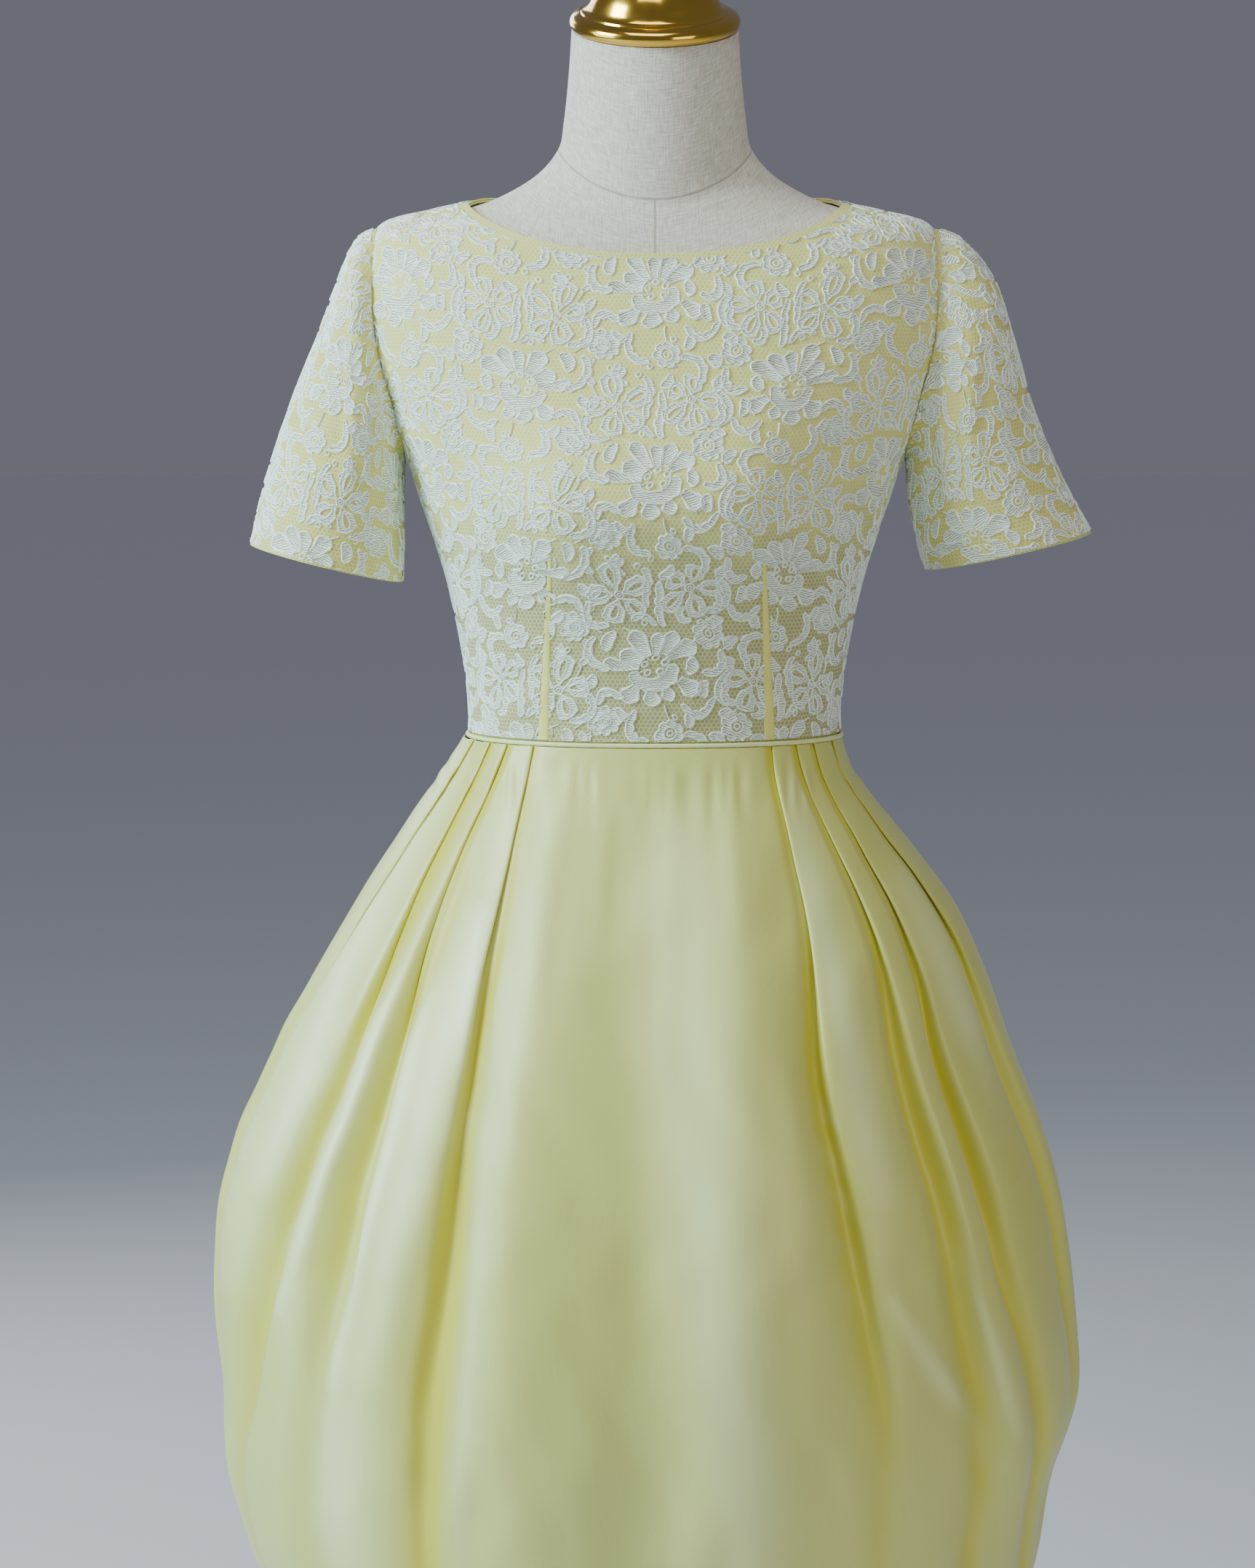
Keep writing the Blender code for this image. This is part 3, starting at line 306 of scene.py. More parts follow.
# The sleeves' outer face, by share of the way to the cuff: across and height of the line over the
# arm and of the line under it, and half the depth
sleeveRows = {
    "right": thousandths([
        (0, 180, 1354, 163, 1202, 47), (100, 193.5, 1345, 164, 1196, 50), (250, 205.5, 1319, 164, 1185, 53),
        (450, 219, 1282, 164, 1169, 54), (650, 235, 1243, 164, 1152, 53.5),
        (850, 252, 1194, 164.5, 1135, 52.5), (1000, 264, 1147, 165, 1122.5, 51.5)]),
    "left": thousandths([
        (0, 180.5, 1354, 163, 1202, 47), (100, 198.5, 1346, 164.5, 1197, 50.5),
        (250, 219, 1321, 165, 1187, 54), (450, 232, 1284, 166.5, 1173, 55.5),
        (650, 244, 1241, 170, 1157, 55.5), (850, 264, 1193, 173.5, 1141, 55),
        (1000, 285, 1155, 177.5, 1130.5, 54.5)])}
sleeve = {"step": 0.0010, "settle": 6, "gathers": 17, "gatherDepth": 0.0009, "gatherSpread": 0.85,
          "gatherFoot": 0.30}
# Soft creases of a sleeve, as angle from the top line and share of the way to the cuff
sleeveCreases = [
    (0.35, 0.12, 1.05, 0.42, 0.1, 0.0012), (0.75, 0.2, 1.5, 0.6, 0.09, -0.0011),
    (1.3, 0.25, 1.75, 0.75, 0.1, 0.0012), (0.15, 0.45, 0.55, 0.95, 0.12, 0.001),
    (2.1, 0.2, 2.3, 0.8, 0.12, -0.001), (-0.4, 0.15, -1, 0.45, 0.1, 0.0012),
    (-0.9, 0.3, -1.35, 0.8, 0.1, -0.001), (-1.7, 0.15, -1.95, 0.7, 0.12, 0.0012),
    (-2.4, 0.3, -2.3, 0.9, 0.12, 0.0009), (-0.1, 0.55, -0.45, 1, 0.12, -0.0008)]


def armholePoint(angle):
    ring = bodice["underarm"] + (bodice["tip"] - bodice["underarm"]) * (1 + np.cos(angle)) / 2
    edge = edgeTurn(ring)
    turn = np.where(np.sin(angle) >= 0, edge, halfTurn - edge)
    return liftedPoint(ring, turn, bodice["face"]) + np.array([sleeve["step"], 0, 0])


def sleeveSkin(side, share, angle):
    # A plain tube, drawn to the armhole's line over the first part of its length
    share, angle = np.broadcast_arrays(np.asarray(share, float), np.asarray(angle, float))

    def plain(way):
        topX, topZ, underX, underZ, depth = curveThrough(sleeveRows[side], way)
        return sideBySide((topX + underX) / 2 + (topX - underX) / 2 * np.cos(angle), -depth * np.sin(angle),
                          (topZ + underZ) / 2 + (topZ - underZ) / 2 * np.cos(angle))

    pull = np.maximum(1 - share, 0) ** sleeve["settle"]
    return plain(share) + (armholePoint(angle) - plain(np.zeros_like(share))) * pull[..., None]


def sleevePoint(side, share, angle, lift):
    step = 0.01
    after = np.maximum(share, step)
    along = sleeveSkin(side, after + step, angle) - sleeveSkin(side, after - step, angle)
    around = sleeveSkin(side, share, angle + step) - sleeveSkin(side, share, angle - step)
    swing = (angle + halfTurn) % fullTurn - halfTurn
    top = np.clip(1 - np.abs(swing) / sleeve["gatherSpread"], 0, 1)
    top = top * np.clip(1 - share / sleeve["gatherFoot"], 0, 1)
    gathers = sleeve["gatherDepth"] * top * np.cos(sleeve["gathers"] * swing + 2 * np.sin(3 * swing))
    crease = softRise(sleeveCreases, swing, share) + gathers
    rise = np.asarray(lift) - bodice["face"] + np.clip(share / 0.06, 0, 1) * crease
    point = sleeveSkin(side, share, angle) - unit(np.cross(along, around)) * rise[..., None]
    return point * np.array([1.0 if side == "left" else -1.0, 1.0, 1.0])


# Materials of the dress and the form
def linenMaterial():
    # Natural linen, plain woven and padded: matt, with uneven slub threads both ways
    look = {"weave": 0.95, "slub": 0.10, "seamHalf": 0.25, "seamFade": 1.1}
    material, tree, surface, uv = newCloth("naturalLinen", 0.88, 0.25, 0.18, 0.5)
    # Threads about 1 mm apart, coarser than the real 0.5 mm so that they show
    slubs = []
    for along, over, seed in ((look["slub"], look["weave"], 3.0), (look["weave"], look["slub"], 8.0)):
        spot = addNode(tree, "Mapping", {"Scale": (along, over, 1), "Location": (seed, seed, 0), "Vector": uv})
        slubs.append(addNode(tree, "TexNoise", {"Scale": 1, "Detail": 3, "Roughness": 0.6, "Vector": spot}))
    weave = addNode(tree, "Math", {"operation": "ADD", 0: slubs[0], 1: slubs[1]})
    tone = addNode(tree, "MapRange", {"From Min": 0.72, "From Max": 1.28, "Value": weave})
    color = addNode(tree, "Mix", {6: "#B9AD9C", 7: "#E6E0D5", 0: tone})
    spot = addNode(tree, "Mapping", {"Scale": (0.35, 0.05, 1.0), "Location": (2.0, 7.0, 0), "Vector": uv})
    flecks = addNode(tree, "TexNoise", {"Scale": 1.0, "Detail": 2.0, "Vector": spot})
    few = addNode(tree, "MapRange", {"From Min": 0.66, "From Max": 0.76, "To Max": 0.35, "Value": flecks})
    flecked = addNode(tree, "Mix", {7: "#9A8566", 0: few, 6: color})
    # The seam round the neck's base and the one down the centre front, drawn where v or u is 0
    parts = addNode(tree, "SeparateXYZ", {0: uv})
    offNeck = addNode(tree, "Math", {"operation": "ABSOLUTE", 0: parts.outputs[1]})
    offFront = addNode(tree, "Math", {"operation": "ABSOLUTE", 0: parts.outputs[0]})
    above = addNode(tree, "Math", {"operation": "GREATER_THAN", 1: 0.0, 0: parts.outputs[1]})
    pushed = addNode(tree, "Math", {"operation": "MULTIPLY_ADD", 1: 50.0, 0: above, 2: offFront})
    nearest = addNode(tree, "Math", {"operation": "MINIMUM", 0: offNeck, 1: pushed})
    groove = addNode(tree, "MapRange", {"From Min": look["seamHalf"], "From Max": look["seamFade"],
                                        "To Min": 1.0, "To Max": 0.0, "Value": nearest})
    shade = addNode(tree, "Math", {"operation": "MULTIPLY", 1: 0.55, 0: groove})
    seamed = addNode(tree, "Mix", {7: "#8F7F6B", 0: shade, 6: flecked})
    height = addNode(tree, "Math", {"operation": "SUBTRACT", 0: weave, 1: groove})
    bump = addNode(tree, "Bump", {"Strength": 0.35, "Distance": 0.0006, "Height": height})
    setUp(tree, surface, {"Base Color": seamed, "Normal": bump})
    return material


def metalMaterial(name, color, roughness, grain, detail, spread, dull):
    # Bare metal whose gloss varies a little with handling
    material, tree, surface = newMaterial(name, {"Base Color": color, "Metallic": 1, "Roughness": roughness})
    place = addNode(tree, "TexCoord", {})
    marks = addNode(tree, "TexNoise", {"Scale": grain, "Detail": detail, "Vector": place.outputs["Object"]})
    worn = addNode(tree, "MapRange", {"From Min": spread[0], "From Max": spread[1],
                                      "To Min": dull[0], "To Max": dull[1], "Value": marks})
    setUp(tree, surface, {"Roughness": worn})
    return material


def taffetaMaterial():
    # Pale yellow taffeta: crisp plain weave with a fine cross rib and a soft sheen
    material, tree, surface, uv = newCloth("yellowTaffeta", 0.55, 0.4, 0.25, 0.4)
    ribs = addNode(tree, "Mapping", {"Scale": (0.2, 1.2, 1.0), "Vector": uv})
    rib = addNode(tree, "TexNoise", {"Scale": 1.0, "Detail": 2.0, "Vector": ribs})
    color = addNode(tree, "Mix", {6: "#DAD56A", 7: "#E6E27E", 0: rib})
    bump = addNode(tree, "Bump", {"Strength": 0.2, "Distance": 0.0003, "Height": rib})
    setUp(tree, surface, {"Base Color": color, "Normal": bump})
    return material


def netMaterial(name, paintedShadeGround, highGround):
    # Nylon bobbin net over the taffeta: white threads round six-sided holes, drawn on one skin.
    # The real holes are about 2 mm; they are drawn 3 mm across so that they show.
    look = {"hole": 3.0, "thread": 0.46, "threadEdge": 0.12, "patch": 90.0, "from": 155.0, "to": 215.0}
    material, tree, surface, uv = newCloth(name, 0.62, 0.3, 0.15, 0.4)
    wide = look["hole"]
    tall = wide * math.sqrt(3)
    reaches = []
    for shift in ((0.0, 0.0, 0.0), (wide / 2, tall / 2, 0.0)):
        moved = addNode(tree, "VectorMath", {"operation": "ADD", 1: shift, 0: uv})
        cell = addNode(tree, "VectorMath", {"operation": "WRAP", 1: (wide / 2, tall / 2, 1.0),
                                            2: (-wide / 2, -tall / 2, -1.0), 0: moved})
        folded = addNode(tree, "VectorMath", {"operation": "ABSOLUTE", 0: cell})
        slant = addNode(tree, "VectorMath", {"operation": "DOT_PRODUCT", 1: (0.5, math.sqrt(3) / 2, 0.0),
                                             0: folded})
        level = addNode(tree, "SeparateXYZ", {0: folded})
        reaches.append(addNode(tree, "Math", {"operation": "MAXIMUM", 0: slant.outputs["Value"],
                                              1: level.outputs[0]}))
    nearest = addNode(tree, "Math", {"operation": "MINIMUM", 0: reaches[0], 1: reaches[1]})
    thread = addNode(tree, "MapRange", {"From Min": wide / 2 - look["thread"],
                                        "From Max": wide / 2 - look["threadEdge"], "Value": nearest})
    dart = addNode(tree, "Attribute", {"attribute_name": "dart"}).outputs["Fac"]
    kept = addNode(tree, "Math", {"operation": "MULTIPLY_ADD", 1: -0.75, 2: 1.0, 0: dart})
    white = addNode(tree, "Math", {"operation": "MULTIPLY", 0: thread, 1: kept})
    soft = addNode(tree, "Math", {"operation": "MULTIPLY_ADD", 1: 0.48, 2: 0.02, 0: white})
    # The taffeta beneath shows in uneven patches, and painted shade makes it duller low down, under the bust,
    # where it turns away from the light
    place = addNode(tree, "TexNoise", {"Scale": 0.03, "Detail": 2.0, "Vector": uv})
    height = addNode(tree, "SeparateXYZ", {0: uv})
    uneven = addNode(tree, "Math", {"operation": "MULTIPLY_ADD", 0: place, 1: look["patch"],
                                    2: height.outputs[1]})
    outOfPaintedShade = addNode(tree, "MapRange", {"From Min": look["from"], "From Max": look["to"], "Value": uneven})
    # Painted shade: below the bust the duller ground colour is mixed in
    ground = addNode(tree, "Mix", {6: paintedShadeGround, 7: highGround, 0: outOfPaintedShade})
    under = addNode(tree, "Mix", {7: "#E6E070", 0: dart, 6: ground})
    color = addNode(tree, "Mix", {7: "#F4F3E6", 0: soft, 6: under})
    bump = addNode(tree, "Bump", {"Strength": 0.5, "Distance": 0.0003, "Height": white})
    setUp(tree, surface, {"Base Color": color, "Normal": bump})
    return material


def clothworkMaterial():
    # The lace's solid parts: white nylon laid in fine rows, a little of the yellow showing between.
    # Rows 1.5 mm apart, about twice the real pitch so that they show
    look = {"pitch": 1.5, "waver": 2.4}
    material, tree, surface, uv = newCloth("laceClothwork", 0.6, 0.4, 0.2, 0.35)
    parts = addNode(tree, "SeparateXYZ", {0: uv})
    waver = addNode(tree, "TexNoise", {"Scale": 0.35, "Detail": 2.0, "Vector": uv})
    bent = addNode(tree, "Math", {"operation": "MULTIPLY_ADD", 0: waver, 1: look["waver"],
                                  2: parts.outputs[0]})
    phase = addNode(tree, "Math", {"operation": "MULTIPLY", 1: fullTurn / look["pitch"], 0: bent})
    wave = addNode(tree, "Math", {"operation": "SINE", 0: phase})
    rows = addNode(tree, "MapRange", {"From Min": -0.9, "From Max": 0.5, "Value": wave})
    color = addNode(tree, "Mix", {6: "#A4A67E", 7: "#F4FDF6", 0: rows})
    bump = addNode(tree, "Bump", {"Strength": 0.6, "Distance": 0.0003, "Height": rows})
    setUp(tree, surface, {"Base Color": color, "Normal": bump})
    return material


def outlineMaterial():
    # The heavier outline thread of the lace: bright white nylon, softly lustrous
    material, tree, surface, uv = newCloth("laceOutlineThread", 0.5, 0.45, 0.2, 0.3)
    twist = addNode(tree, "TexNoise", {"Scale": 0.8, "Detail": 2.0, "Vector": uv})
    color = addNode(tree, "Mix", {6: "#ECF6EE", 7: "#F6FFF8", 0: twist})
    setUp(tree, surface, {"Base Color": color})
    return material


def satinMaterial():
    # Duchess satin in pale lemon: long floats give a broad cool gleam. The fold attribute paints light into
    # the colour:
    # 1 in a hollow gives painted deep yellow shade, and -1 on a crest gives a pale painted highlight.
    material, tree, surface, uv = newCloth("lemonSatin", 0.46, 0.75, 0.25, 0.40, {
        "Sheen Tint": "#DDEBFC", "Coat Weight": 0.15, "Coat Roughness": 0.38, "Anisotropic": 0.3})
    fold = addNode(tree, "Attribute", {"attribute_name": "fold"}).outputs["Fac"]
    grain = addNode(tree, "Mapping", {"Scale": (1.1, 0.03, 1.0), "Vector": uv})
    floats = addNode(tree, "TexNoise", {"Scale": 1.0, "Detail": 3.0, "Vector": grain})
    base = addNode(tree, "Mix", {6: "#CACA68", 7: "#D4D478", 0: floats})
    # Painted shade: hollows marked by the fold attribute turn deep yellow
    paintedHollowShade = addNode(tree, "Mix", {7: "#D0C632", 0: fold, 6: base})
    # Painted highlight: crests marked by the fold attribute turn pale
    crest = addNode(tree, "MapRange", {"From Min": 0.0, "From Max": -1.0, "To Max": 1.0, "Value": fold})
    color = addNode(tree, "Mix", {7: "#F4FABC", 0: crest, 6: paintedHollowShade})
    bump = addNode(tree, "Bump", {"Strength": 0.10, "Distance": 0.0003, "Height": floats})
    setUp(tree, surface, {"Base Color": color, "Normal": bump})
    return material


linen = linenMaterial()
# Polished gold plating on turned metal: bright, with faint hand marks
capGold, standGold = (
    metalMaterial(name, "#E4B84E", gloss, 60.0, 4.0, (0.3, 0.75), (gloss * 0.8, gloss * 1.6))
    for name, gloss in (("polishedGoldCap", 0.13), ("polishedGoldStand", 0.2)))
taffeta = taffetaMaterial()
# The net's first ground colour is painted shade for the lower bodice; the sleeves' two colours are nearly
# alike
net = netMaterial("nylonNetOverTaffeta", "#A8A45E", "#DAD66C")
sleeveNet = netMaterial("nylonNetOverSleeveTaffeta", "#D2CA5A", "#D4CC5C")
clothwork = clothworkMaterial()
outlineThread = outlineMaterial()
satin = satinMaterial()
# Nickel-silver zip metal, brushed by wear
zipMetal = metalMaterial("nickelSilver", "#C9C6BE", 0.3, 400.0, 3.0, (0.0, 1.0), (0.22, 0.42))
print("materials made")


# Panels and how flat cloth lies on them. A panel reads rows and columns of its own surface, and
# across and up are millimetres on the flat cloth from its grain line and its lower edge.
def readGrid(panel, key, row, col):
    rows, cols, values = panel["rows"], panel["cols"], panel[key]
    j = (row - rows[0]) / (rows[1] - rows[0])
    i = (col - cols[0]) / (cols[1] - cols[0])
    j0 = np.clip(np.floor(j).astype(int), 0, len(rows) - 2)
    i0 = np.clip(np.floor(i).astype(int), 0, len(cols) - 2)
    fj, fi = j - j0, i - i0
    return ((values[j0, i0] * (1 - fi) + values[j0, i0 + 1] * fi) * (1 - fj)
            + (values[j0 + 1, i0] * (1 - fi) + values[j0 + 1, i0 + 1] * fi) * fj)


def makePanel(surface, rows, cols, zeroRow):
    row, col = np.meshgrid(rows, cols, indexing="ij")
    points = surface(row, col, np.full(row.shape, bodice["face"]))
    panel = {"surface": surface, "rows": rows, "cols": cols,
             "across": 1000 * lengthAlong(points, 1), "up": 1000 * lengthAlong(points, 0)}
    panel["across"] = panel["across"] - readGrid(panel, "across", rows, np.zeros(len(rows)))[:, None]
    panel["up"] = panel["up"] - readGrid(panel, "up", np.full(len(cols), float(zeroRow)), cols)[None, :]
    # Whether faces in the order of rows and columns would point into the cloth
    j, i = len(rows) // 2, len(cols) // 2
    out = surface(row[j, i], col[j, i], np.array(0.004)) - points[j, i]
    facing = np.cross(points[j, i + 1] - points[j, i], points[j + 1, i] - points[j, i])
    panel["flip"] = bool(np.dot(facing, out) < 0)
    return panel


def findFlat(panel, across, up):
    # The row and column of points on the flat cloth, by repeated small corrections
    rows, cols = panel["rows"], panel["cols"]
    place = [np.full(across.shape, rows[len(rows) // 3]), np.zeros(across.shape)]
    for _ in range(14):
        for axis, key, wanted, keys, most in ((0, "up", up, rows, 2.0), (1, "across", across, cols, 0.6)):
            step = keys[1] - keys[0]
            ahead, behind = list(place), list(place)
            ahead[axis], behind[axis] = place[axis] + step, place[axis] - step
            rate = (readGrid(panel, key, *ahead) - readGrid(panel, key, *behind)) / (2 * step)
            moved = place[axis] + np.clip((wanted - readGrid(panel, key, *place)) / rate, -most, most)
            place[axis] = np.clip(moved, keys[0] - step, keys[-1] + step)
    return place


def flatPlaces(panel, row, col):
    return sideBySide(readGrid(panel, "across", row, col), readGrid(panel, "up", row, col))


def zipTurn(ring):
    wide, square = curveThrough(formTable, ring)[[1, 7]]
    return seamTurn(wide, square, bodice["zipHalfGap"])


# Each panel reaches a little past its edges
bodiceGrain = np.linspace(4.6, 17.0, 156), np.linspace(-1.72, 1.72, 173), bodice["waist"]
sleeveGrain = np.linspace(-0.04, 1.0, 105), np.linspace(-halfTurn - 0.2, halfTurn + 0.2, 201), 0.0
panelFront = makePanel(bodicePoint, *bodiceGrain)
panelBack = makePanel(lambda row, col, lift: bodicePoint(row, halfTurn - col, lift), *bodiceGrain)
panelSleeve = {side: makePanel(lambda row, col, lift, side=side: sleevePoint(side, 1 - row, col, lift),
                               *sleeveGrain) for side in ("left", "right")}


def bodiceGrid(bottom, side, across):
    # Rows and columns of a bodice panel: side 0 is the front, 1 and -1 are the backs
    low = np.linspace(bottom, bodice["underarm"], across // 3)[:-1]
    arm = (bodice["underarm"] + bodice["tip"]) / 2 - (bodice["tip"] - bodice["underarm"]) / 2 * np.cos(
        np.linspace(0, halfTurn, across // 3))
    bends = np.linspace(0, 1, across // 10)[1:]
    ring = np.concatenate([low, arm, np.full(len(bends), bodice["tip"])])[:, None]
    bend = np.concatenate([np.zeros(len(low) + len(arm)), bends])[:, None]
    edge = edgeTurn(ring)
    if side == 0:
        turn = col = np.linspace(-1, 1, across)[None, :] * edge
    else:
        inner = zipTurn(ring)
        col = side * (inner + (edge - inner) * np.linspace(0, 1, across // 2)[None, :])
        turn = halfTurn - col
    ring = np.broadcast_to(ring, col.shape)
    return ring + bend * (neckRing(turn) - ring), col


def makeShell(name, panel, row, col, lift, material, nodes, mirrored=False, closed=False):
    points = panel["surface"](row, col, np.full(row.shape, lift + bodice["cloth"]))
    piece = newPiece(name, points, gridFaces(*row.shape, flip=panel["flip"] != mirrored), material,
                     nodes, uv=flatPlaces(panel, row, col))
    if closed:
        closeMesh(piece, weld=True)
    giveWall(piece, bodice["cloth"], -1.0)
    return piece


# The dress form: torso and neck under one linen cover
def makeForm():
    look = {"sink": 0.0014, "armholeSink": 0.0016, "around": 144, "neckBase": 18, "fadeOver": 4}
    # Rings from the underside to the waist, on to the shoulder's tip and up to the top of the neck
    rows = np.concatenate([np.linspace(0, 5, 30)[:-1], np.linspace(5, 14, 80)[:-1], np.linspace(14, 21, 60)])
    row, col = np.meshgrid(rows, np.linspace(-halfTurn, halfTurn, look["around"] + 1), indexing="ij")
    fade = np.clip((look["neckBase"] - row) / look["fadeOver"], 0, 1)
    stump = np.where((row > 9.5) & (row < 14.5), look["armholeSink"], 0) * np.abs(np.sin(col)) ** 4
    points = liftedPoint(row, col, -look["sink"] * fade - stump)
    across, up = lengthAlong(points, 1), lengthAlong(points, 0)
    across -= across[:, look["around"] // 2][:, None]
    up = up - up[int(np.argmin(np.abs(rows - look["neckBase"])))][None, :]
    form = newPiece("linenForm", points, gridFaces(*row.shape), linen, ["dress_form_torso"],
                    uv=1000 * sideBySide(across, up))
    closeMesh(form, weld=True, fill=True)
    form.data.set_sharp_from_angle(angle=math.radians(50))


def turnPiece(name, profile, steps, material, node, place=(0, 0, 0), tilt=0.0):
    # A ring is extruded, widened and raised along the profile, from its lower edge up
    pickOnly()
    radius, height = profile[0]
    bpy.ops.mesh.primitive_circle_add(vertices=steps, radius=radius, fill_type="NGON",
                                      location=(0, 0, height))
    piece = bpy.context.active_object
    piece.name = name
    bpy.ops.object.mode_set(mode="EDIT")
    bpy.ops.mesh.select_all(action="SELECT")
    for nextRadius, nextHeight in profile[1:]:
        bpy.ops.mesh.extrude_region_move(TRANSFORM_OT_translate={"value": (0, 0, nextHeight - height)})
        grown = nextRadius / radius
        bpy.ops.transform.resize(value=(grown, grown, 1), center_override=(0, 0, nextHeight))
        radius, height = nextRadius, nextHeight
    bpy.ops.mesh.select_all(action="SELECT")
    bpy.ops.mesh.normals_make_consistent(inside=False)
    bpy.ops.object.mode_set(mode="OBJECT")
    bpy.ops.object.shade_smooth_by_angle(angle=math.radians(38))
    piece.data.materials.append(material)
    piece.location = Vector(piece.location) + Vector(place)
    piece.rotation_euler = (tilt, 0, 0)
    bpy.ops.object.transform_apply(location=True, rotation=True, scale=True)
    declare(piece, [node])


def arcSteps(centre, radius, start, end, count):
    angles = [math.radians(start + (end - start) * i / count) for i in range(count + 1)]
    return [(centre[0] + radius * math.cos(a), centre[1] + radius * math.sin(a)) for a in angles]


def makeCap():
    # The neck cap: a turned dome with a stepped rim and a ball, tipped with the top of the neck
    look = {"steps": 96, "tilt": 0.29, "gap": 0.0003}
    profile = [(0.0515, 0.0), (0.0526, 0.0003)] + arcSteps((0.0500, 0.0048), 0.0052, -60, 78, 9)
    profile += [(0.0497, 0.0106), (0.0482, 0.0110), (0.0476, 0.0122), (0.0448, 0.0130), (0.0436, 0.0142)]
    profile += arcSteps((0.0, -0.0020), 0.0460, 24, 74, 14)
    profile += [(0.0108, 0.0441), (0.0098, 0.0447), (0.0084, 0.0462), (0.0074, 0.0480), (0.0069, 0.0500)]
    profile += arcSteps((0.0, 0.0620), 0.0125, -52, 84, 14)
    sideZ, sideY, frontY, backY = (formRings[-1][k] for k in (0, 2, 4, 6))
    middleY = (frontY + backY) / 2
    tilt = math.atan(look["tilt"])
    up = Vector((0, -math.sin(tilt), math.cos(tilt)))
    foot = Vector((0, middleY, sideZ + look["tilt"] * (middleY - sideY))) + up * look["gap"]
    turnPiece("turnedNeckCap", profile, look["steps"], capGold, "neck_cap", foot, tilt)


def makeStand():
    look = {"radius": 0.175, "bossTop": 0.034, "poleRadius": 0.016, "socket": 0.028, "socketDepth": 0.022,
            "gap": 0.0003, "torsoFoot": 0.780, "baseSteps": 128, "poleSteps": 64}
    wide = look["radius"]
    profile = [(wide - 0.003, 0.0), (wide - 0.0010, 0.0008), (wide, 0.0024), (wide, 0.0042),
               (wide - 0.0008, 0.0062), (wide - 0.0024, 0.0080), (wide - 0.006, 0.0098), (0.150, 0.0116),
               (0.120, 0.0130), (0.090, 0.0147), (0.060, 0.0168), (0.040, 0.0188), (0.031, 0.0203),
               (0.027, 0.0222), (0.0257, 0.0250), (0.0248, 0.0290), (0.0243, 0.0315), (0.0234, 0.0330),
               (0.0218, look["bossTop"])]
    turnPiece("turnedBase", profile, look["baseSteps"], standGold, "stand_base")
    head = look["torsoFoot"] - look["gap"]
    neck = head - look["socketDepth"]
    pole, socket = look["poleRadius"], look["socket"]
    profile = [(pole, look["bossTop"] + look["gap"]), (pole, 0.2), (pole, 0.4), (pole, 0.6),
               (pole, neck - 0.006), (pole + 0.0012, neck - 0.0042), (pole + 0.005, neck - 0.0020),
               (socket - 0.0012, neck - 0.0004), (socket, neck + 0.0010), (socket, head - 0.0012),
               (socket - 0.001, head)]
    turnPiece("turnedPole", profile, look["poleSteps"], standGold, "stand_pole")


makeForm()
makeCap()
makeStand()
print("form and stand made")


# Bodice and sleeves: taffeta lining, and the net over it
def makeBodice():
    look = {"lining": (bodice["waist"], bodice["liningLift"], 72, taffeta, "lining_taffeta"),
            "lace": (bodice["laceHem"], bodice["laceLift"], 126, net, "lace_nylon")}
    shells = {}
    for kind, (bottom, lift, across, material, slotName) in look.items():
        for part, side in (("front", 0), ("back_left", 1), ("back_right", -1)):
            panel = panelBack if side else panelFront
            row, col = bodiceGrid(bottom, side, across)
            shells[kind, part] = makeShell(f"{kind}Shell_{part}", panel, row, col, lift, material,
                                           [f"{kind}_{part}"], mirrored=side < 0)
    return shells


def makeSleeves():
    look = {"lining": (36, 72, bodice["liningLift"], taffeta, "lining_taffeta", [""]),
            "lace": (72, 144, bodice["laceLift"], sleeveNet, "lace_nylon", ["_front", "_back"])}
    tubes = {}
    for side in ("left", "right"):
        for kind, (rows, around, lift, material, slotName, ends) in look.items():
            row, col = np.meshgrid(np.linspace(0, 1, rows), np.linspace(-halfTurn, halfTurn, around + 1),
                                   indexing="ij")
            nodes = [f"sleeve_{kind}_{side}{end}" for end in ends]
            tubes[kind, side] = makeShell(f"{kind}Tube_{side}", panelSleeve[side], row, col, lift, material,
                                          nodes, closed=True)
    return tubes


bodiceShells = makeBodice()
sleeveTubes = makeSleeves()
print("bodice and sleeves made")


# The lace's own design, in millimetres on the flat net. Every motif is a grid of points whose
# border is an outline thread: 0 at the edge, highest on the thread, and low inside.
lace = {"pitch": 86.0, "rise": 126.0, "base": 52.0, "thread": 0.95, "threadHeight": 0.00080,
        "clothHeight": 0.00034, "sunk": 0.00004, "layer": 0.00003, "neckMargin": 0.20, "rowSlant": 0.45,
        "waver": 1.3, "columns": 3, "layers": 9, "uvShift": 0.37, "topRing": 17, "edge": 0.004,
        "hemEdge": 0.02, "missed": 2.5, "cuffEdge": 0.006, "headEdge": 0.985, "seamEdge": 0.01, "least": 1e-9}
heightSteps = np.array([-lace["sunk"], lace["threadHeight"], lace["clothHeight"]])


def circlePlaces(count, start=0.0):
    angle = start + np.arange(count) * fullTurn / count
    return angle, sideBySide(np.cos(angle), np.sin(angle))


def atAngle(centre, reach, angle, squash):
    return centre[0] + reach * np.cos(angle), centre[1] + squash * reach * np.sin(angle)


def scallop(share, bumps, size):
    return size * np.abs(np.sin(bumps * math.pi * share)) ** 0.8


def borderSteps(inside, share):
    share = np.clip(share, 0.02, 0.30)
    middle = np.linspace(0, 1, inside + 1)[1:-1]
    first = sideBySide(0 * share, share / 2, share)
    between = share[..., None] + (1 - 2 * share[..., None]) * middle
    return np.concatenate([first, between, 1 - first[..., ::-1]], axis=-1)


def borderIndex(count):
    index = np.arange(count)
    return np.minimum(np.minimum(index, count - 1 - index), 2)


